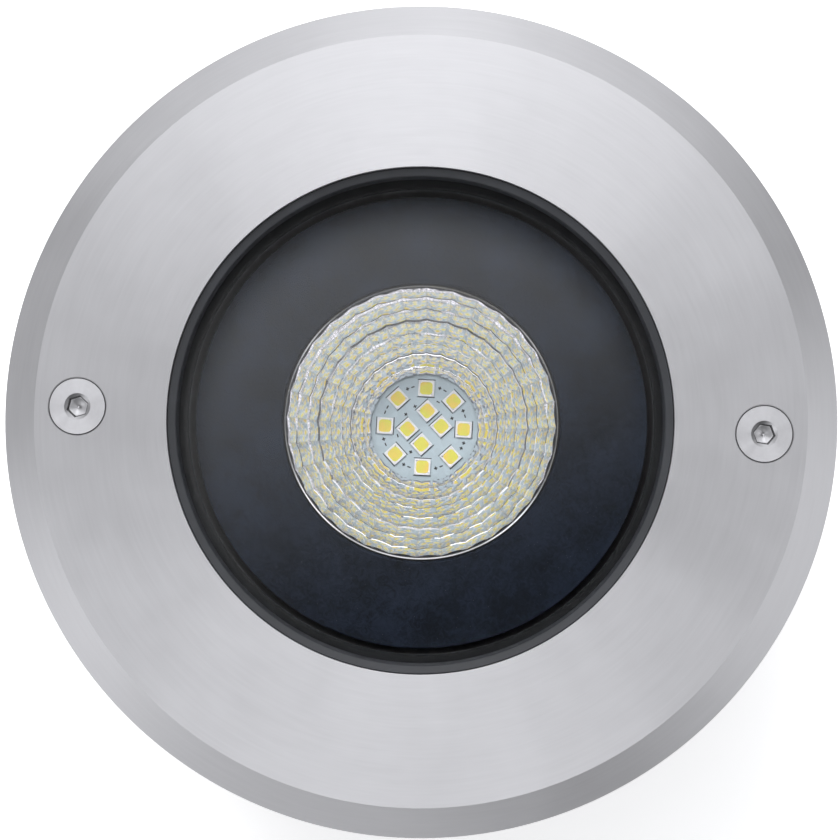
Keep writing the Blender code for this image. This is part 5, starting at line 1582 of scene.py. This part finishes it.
def studio_light(surface):
    """Brightness of the studio by direction: a lit ceiling, bays low down, the camera's shadow."""
    x, y, z = surface.parts(surface.node("TexCoord", output="Generated"))
    azimuth = y.math("ARCTAN2", x) / math.tau + 1.0
    last = len(SURROUND_SHARES) - 1
    stops = [(index / last, grey / 2) for index, grey in enumerate(SURROUND_SHARES)]
    bays = surface.node("ValToRGB", {"stops": stops}, {0: azimuth.math("FRACT")})
    bays = surface.node("RGBToBW", None, {0: bays}) * 2.0
    bays = bays * (0.35 + z.field("low") * 0.65)
    beside, ahead = x.math("ABSOLUTE"), y.math("ABSOLUTE")
    across = beside.field("across")
    behind = y.field("behind") * (2.5 - across * 1.9)
    front = (0.0 - y).field("front") * (1.25 - across * 1.1)
    flanks = beside.field("flanks") * (0.5 - ahead.field("ahead") * 0.5)
    ceiling = (0.64 + behind + front + flanks) * (0.05 + y.field("near") * 0.95)
    ceiling = ceiling * (1.10 - x.field("left") * 0.20)
    sides = beside.field("sides") * (1.0 - ahead.field("sides_ahead"))
    back = y.field("back") * (1.0 - beside.field("back_across"))
    ceiling = ceiling * (1.0 - sides * 0.85) * (1.0 - back * 0.72)
    shadow_x, shadow_y = (signal - place for signal, place in zip((x, y), SHADOW_SHARES))
    sheen_x, sheen_y = (signal - place for signal, place in zip((x, y), SHEEN_SHARES))
    shadow = radius_of(shadow_x, shadow_y).field("shadow")
    sheen = (shadow_y * SLOPE_SHARES[1] - shadow_x * SLOPE_SHARES[0]).field("sheen")
    sheen = sheen * (1.0 - radius_of(sheen_x, sheen_y).field("sheen_edge"))
    overhead = ceiling * shadow + sheen * 0.95 + 0.01
    return surface.node("Mix", {"data_type": "FLOAT"}, {0: z.field("overhead"), 2: bays, 3: overhead})


def shows_background(surface):
    """1 for the rays that see the pale background: from the camera, off metal and through glass."""
    seen = surface.node("LightPath", output="Is Camera Ray")
    for way in ("Is Glossy Ray", "Is Transmission Ray"):
        seen = seen.math("MAXIMUM", surface.node("LightPath", output=way))
    return seen


def pale_floor():
    """A pale matt floor that glows where it is seen."""
    surface, studio = new_surface("pale_floor"), looks().studio
    grain = surface.noise(surface.place(), 40.0, 3.0)
    colour = surface.blend(grain, shade(studio.floor, 0.97), shade(studio.floor, 1.02))
    matt = surface.principled(base_color=colour, roughness=0.9)
    strength = shows_background(surface) * studio.floor_glow
    glow = surface.node("Emission", None, {"Color": (1, 1, 1), "Strength": strength})
    surface.finish_with(surface.node("AddShader", None, {0: matt, 1: glow}))
    return surface.owner


def studio_world():
    """The studio's light, and plain white low down and behind the light where that is seen."""
    sky = Surface(bpy.data.worlds.new("studio"))
    height = sky.parts(sky.node("TexCoord", output="Generated"))[2]
    low = 1.0 - height.between(0.0, 0.1)
    seen = sky.node("LightPath", output="Is Camera Ray").math("MAXIMUM", shows_background(sky) * low)
    strength = sky.node("Mix", {"data_type": "FLOAT"}, {0: seen, 2: studio_light(sky), 3: 1.0})
    colour = sky.blend(seen, (*looks().studio.sky, 1), (1, 1, 1, 1))
    sky.finish_with(sky.node("Background", None, {"Color": colour, "Strength": strength}))
    return sky.owner


class GROUND_LIGHT_OT_studio(bpy.types.Operator):
    """Sets up the floor, the studio light and the camera"""

    bl_idname = "ground_light.studio"
    bl_label = "Studio"

    def execute(self, context):
        studio, scene = looks().studio, context.scene
        scene.view_settings.view_transform = "Standard"
        shape = bmesh.new()
        bmesh.ops.create_grid(shape, x_segments=1, y_segments=1, size=studio.floor_size / 2)
        floor = added("floor", meshed(shape, "floor"))
        floor.location.z = -studio.floor_gap
        floor.data.materials.append(pale_floor())
        scene.world = studio_world()

        top = ring_top()
        target = Vector((0, 0, top))
        lamp_place = Vector((studio.lamp_x, studio.lamp_y, top + studio.lamp_height))
        lamp = bpy.data.lights.new("overhead_lamp", "AREA")
        lamp.size = studio.lamp_size
        lamp.energy = studio.lamp_power
        softbox = added("overhead_lamp", lamp)
        softbox.matrix_world = aimed(lamp_place, target, 0.0)
        softbox.visible_glossy = False
        softbox.visible_transmission = False

        lens = bpy.data.cameras.new("camera")
        lens.sensor_width = studio.sensor
        reach = studio.distance + looks().ring.height - looks().ring.rim_height
        lens.lens = studio.sensor / 2 * reach / studio.half_frame
        lens.clip_start = studio.clip
        scene.camera = added("camera", lens)
        place = Vector((studio.foot_x, studio.foot_y, top + studio.distance))
        scene.camera.matrix_world = aimed(place, target, studio.roll)
        return {"FINISHED"}


def aimed(place, target, roll):
    """A matrix that looks from a place to a target with +Y up in the picture, then rolled."""
    back = (place - target).normalized()
    right = Vector((0, 1, 0)).cross(back).normalized()
    up = back.cross(right)
    turned = Matrix((right, up, back)).transposed().to_4x4()
    return Matrix.Translation(place) @ turned @ Matrix.Rotation(roll, 4, "Z")


class GROUND_LIGHT_PT_panel(bpy.types.Panel):
    """Sidebar panel with the steps and the sizes"""

    bl_label = "Ground light"
    bl_idname = "GROUND_LIGHT_PT_panel"
    bl_space_type = "VIEW_3D"
    bl_region_type = "UI"
    bl_category = "Ground light"

    def draw(self, context):
        for operator in OPERATORS:
            self.layout.operator(operator.bl_idname)
        for group in LightLooks.__annotations__:
            settings = getattr(context.scene.ground_light, group)
            box = self.layout.box()
            box.label(text=group.title())
            for name in settings.__annotations__:
                box.prop(settings, name)


SETTINGS = (RingSettings, ScrewSettings, GlassSettings, PlateSettings, ReflectorSettings, LightSettings,
            HousingSettings, SleeveSettings, FittingSettings, FinishSettings, StudioSettings, LightLooks)
OPERATORS = (GROUND_LIGHT_OT_finishes, GROUND_LIGHT_OT_face_ring, GROUND_LIGHT_OT_face_screws,
             GROUND_LIGHT_OT_glass, GROUND_LIGHT_OT_trim_plate, GROUND_LIGHT_OT_reflector,
             GROUND_LIGHT_OT_light_sources, GROUND_LIGHT_OT_housing, GROUND_LIGHT_OT_sleeve,
             GROUND_LIGHT_OT_fittings, GROUND_LIGHT_OT_studio)


def register():
    for kind in SETTINGS + OPERATORS + (GROUND_LIGHT_PT_panel,):
        bpy.utils.register_class(kind)
    bpy.types.Scene.ground_light = PointerProperty(type=LightLooks)


def unregister():
    del bpy.types.Scene.ground_light
    for kind in reversed(SETTINGS + OPERATORS + (GROUND_LIGHT_PT_panel,)):
        bpy.utils.unregister_class(kind)


def main():
    """Builds every piece."""
    register()
    for operator in OPERATORS:
        group, step = operator.bl_idname.split(".")
        getattr(getattr(bpy.ops, group), step)()


if __name__ == "__main__":
    main()
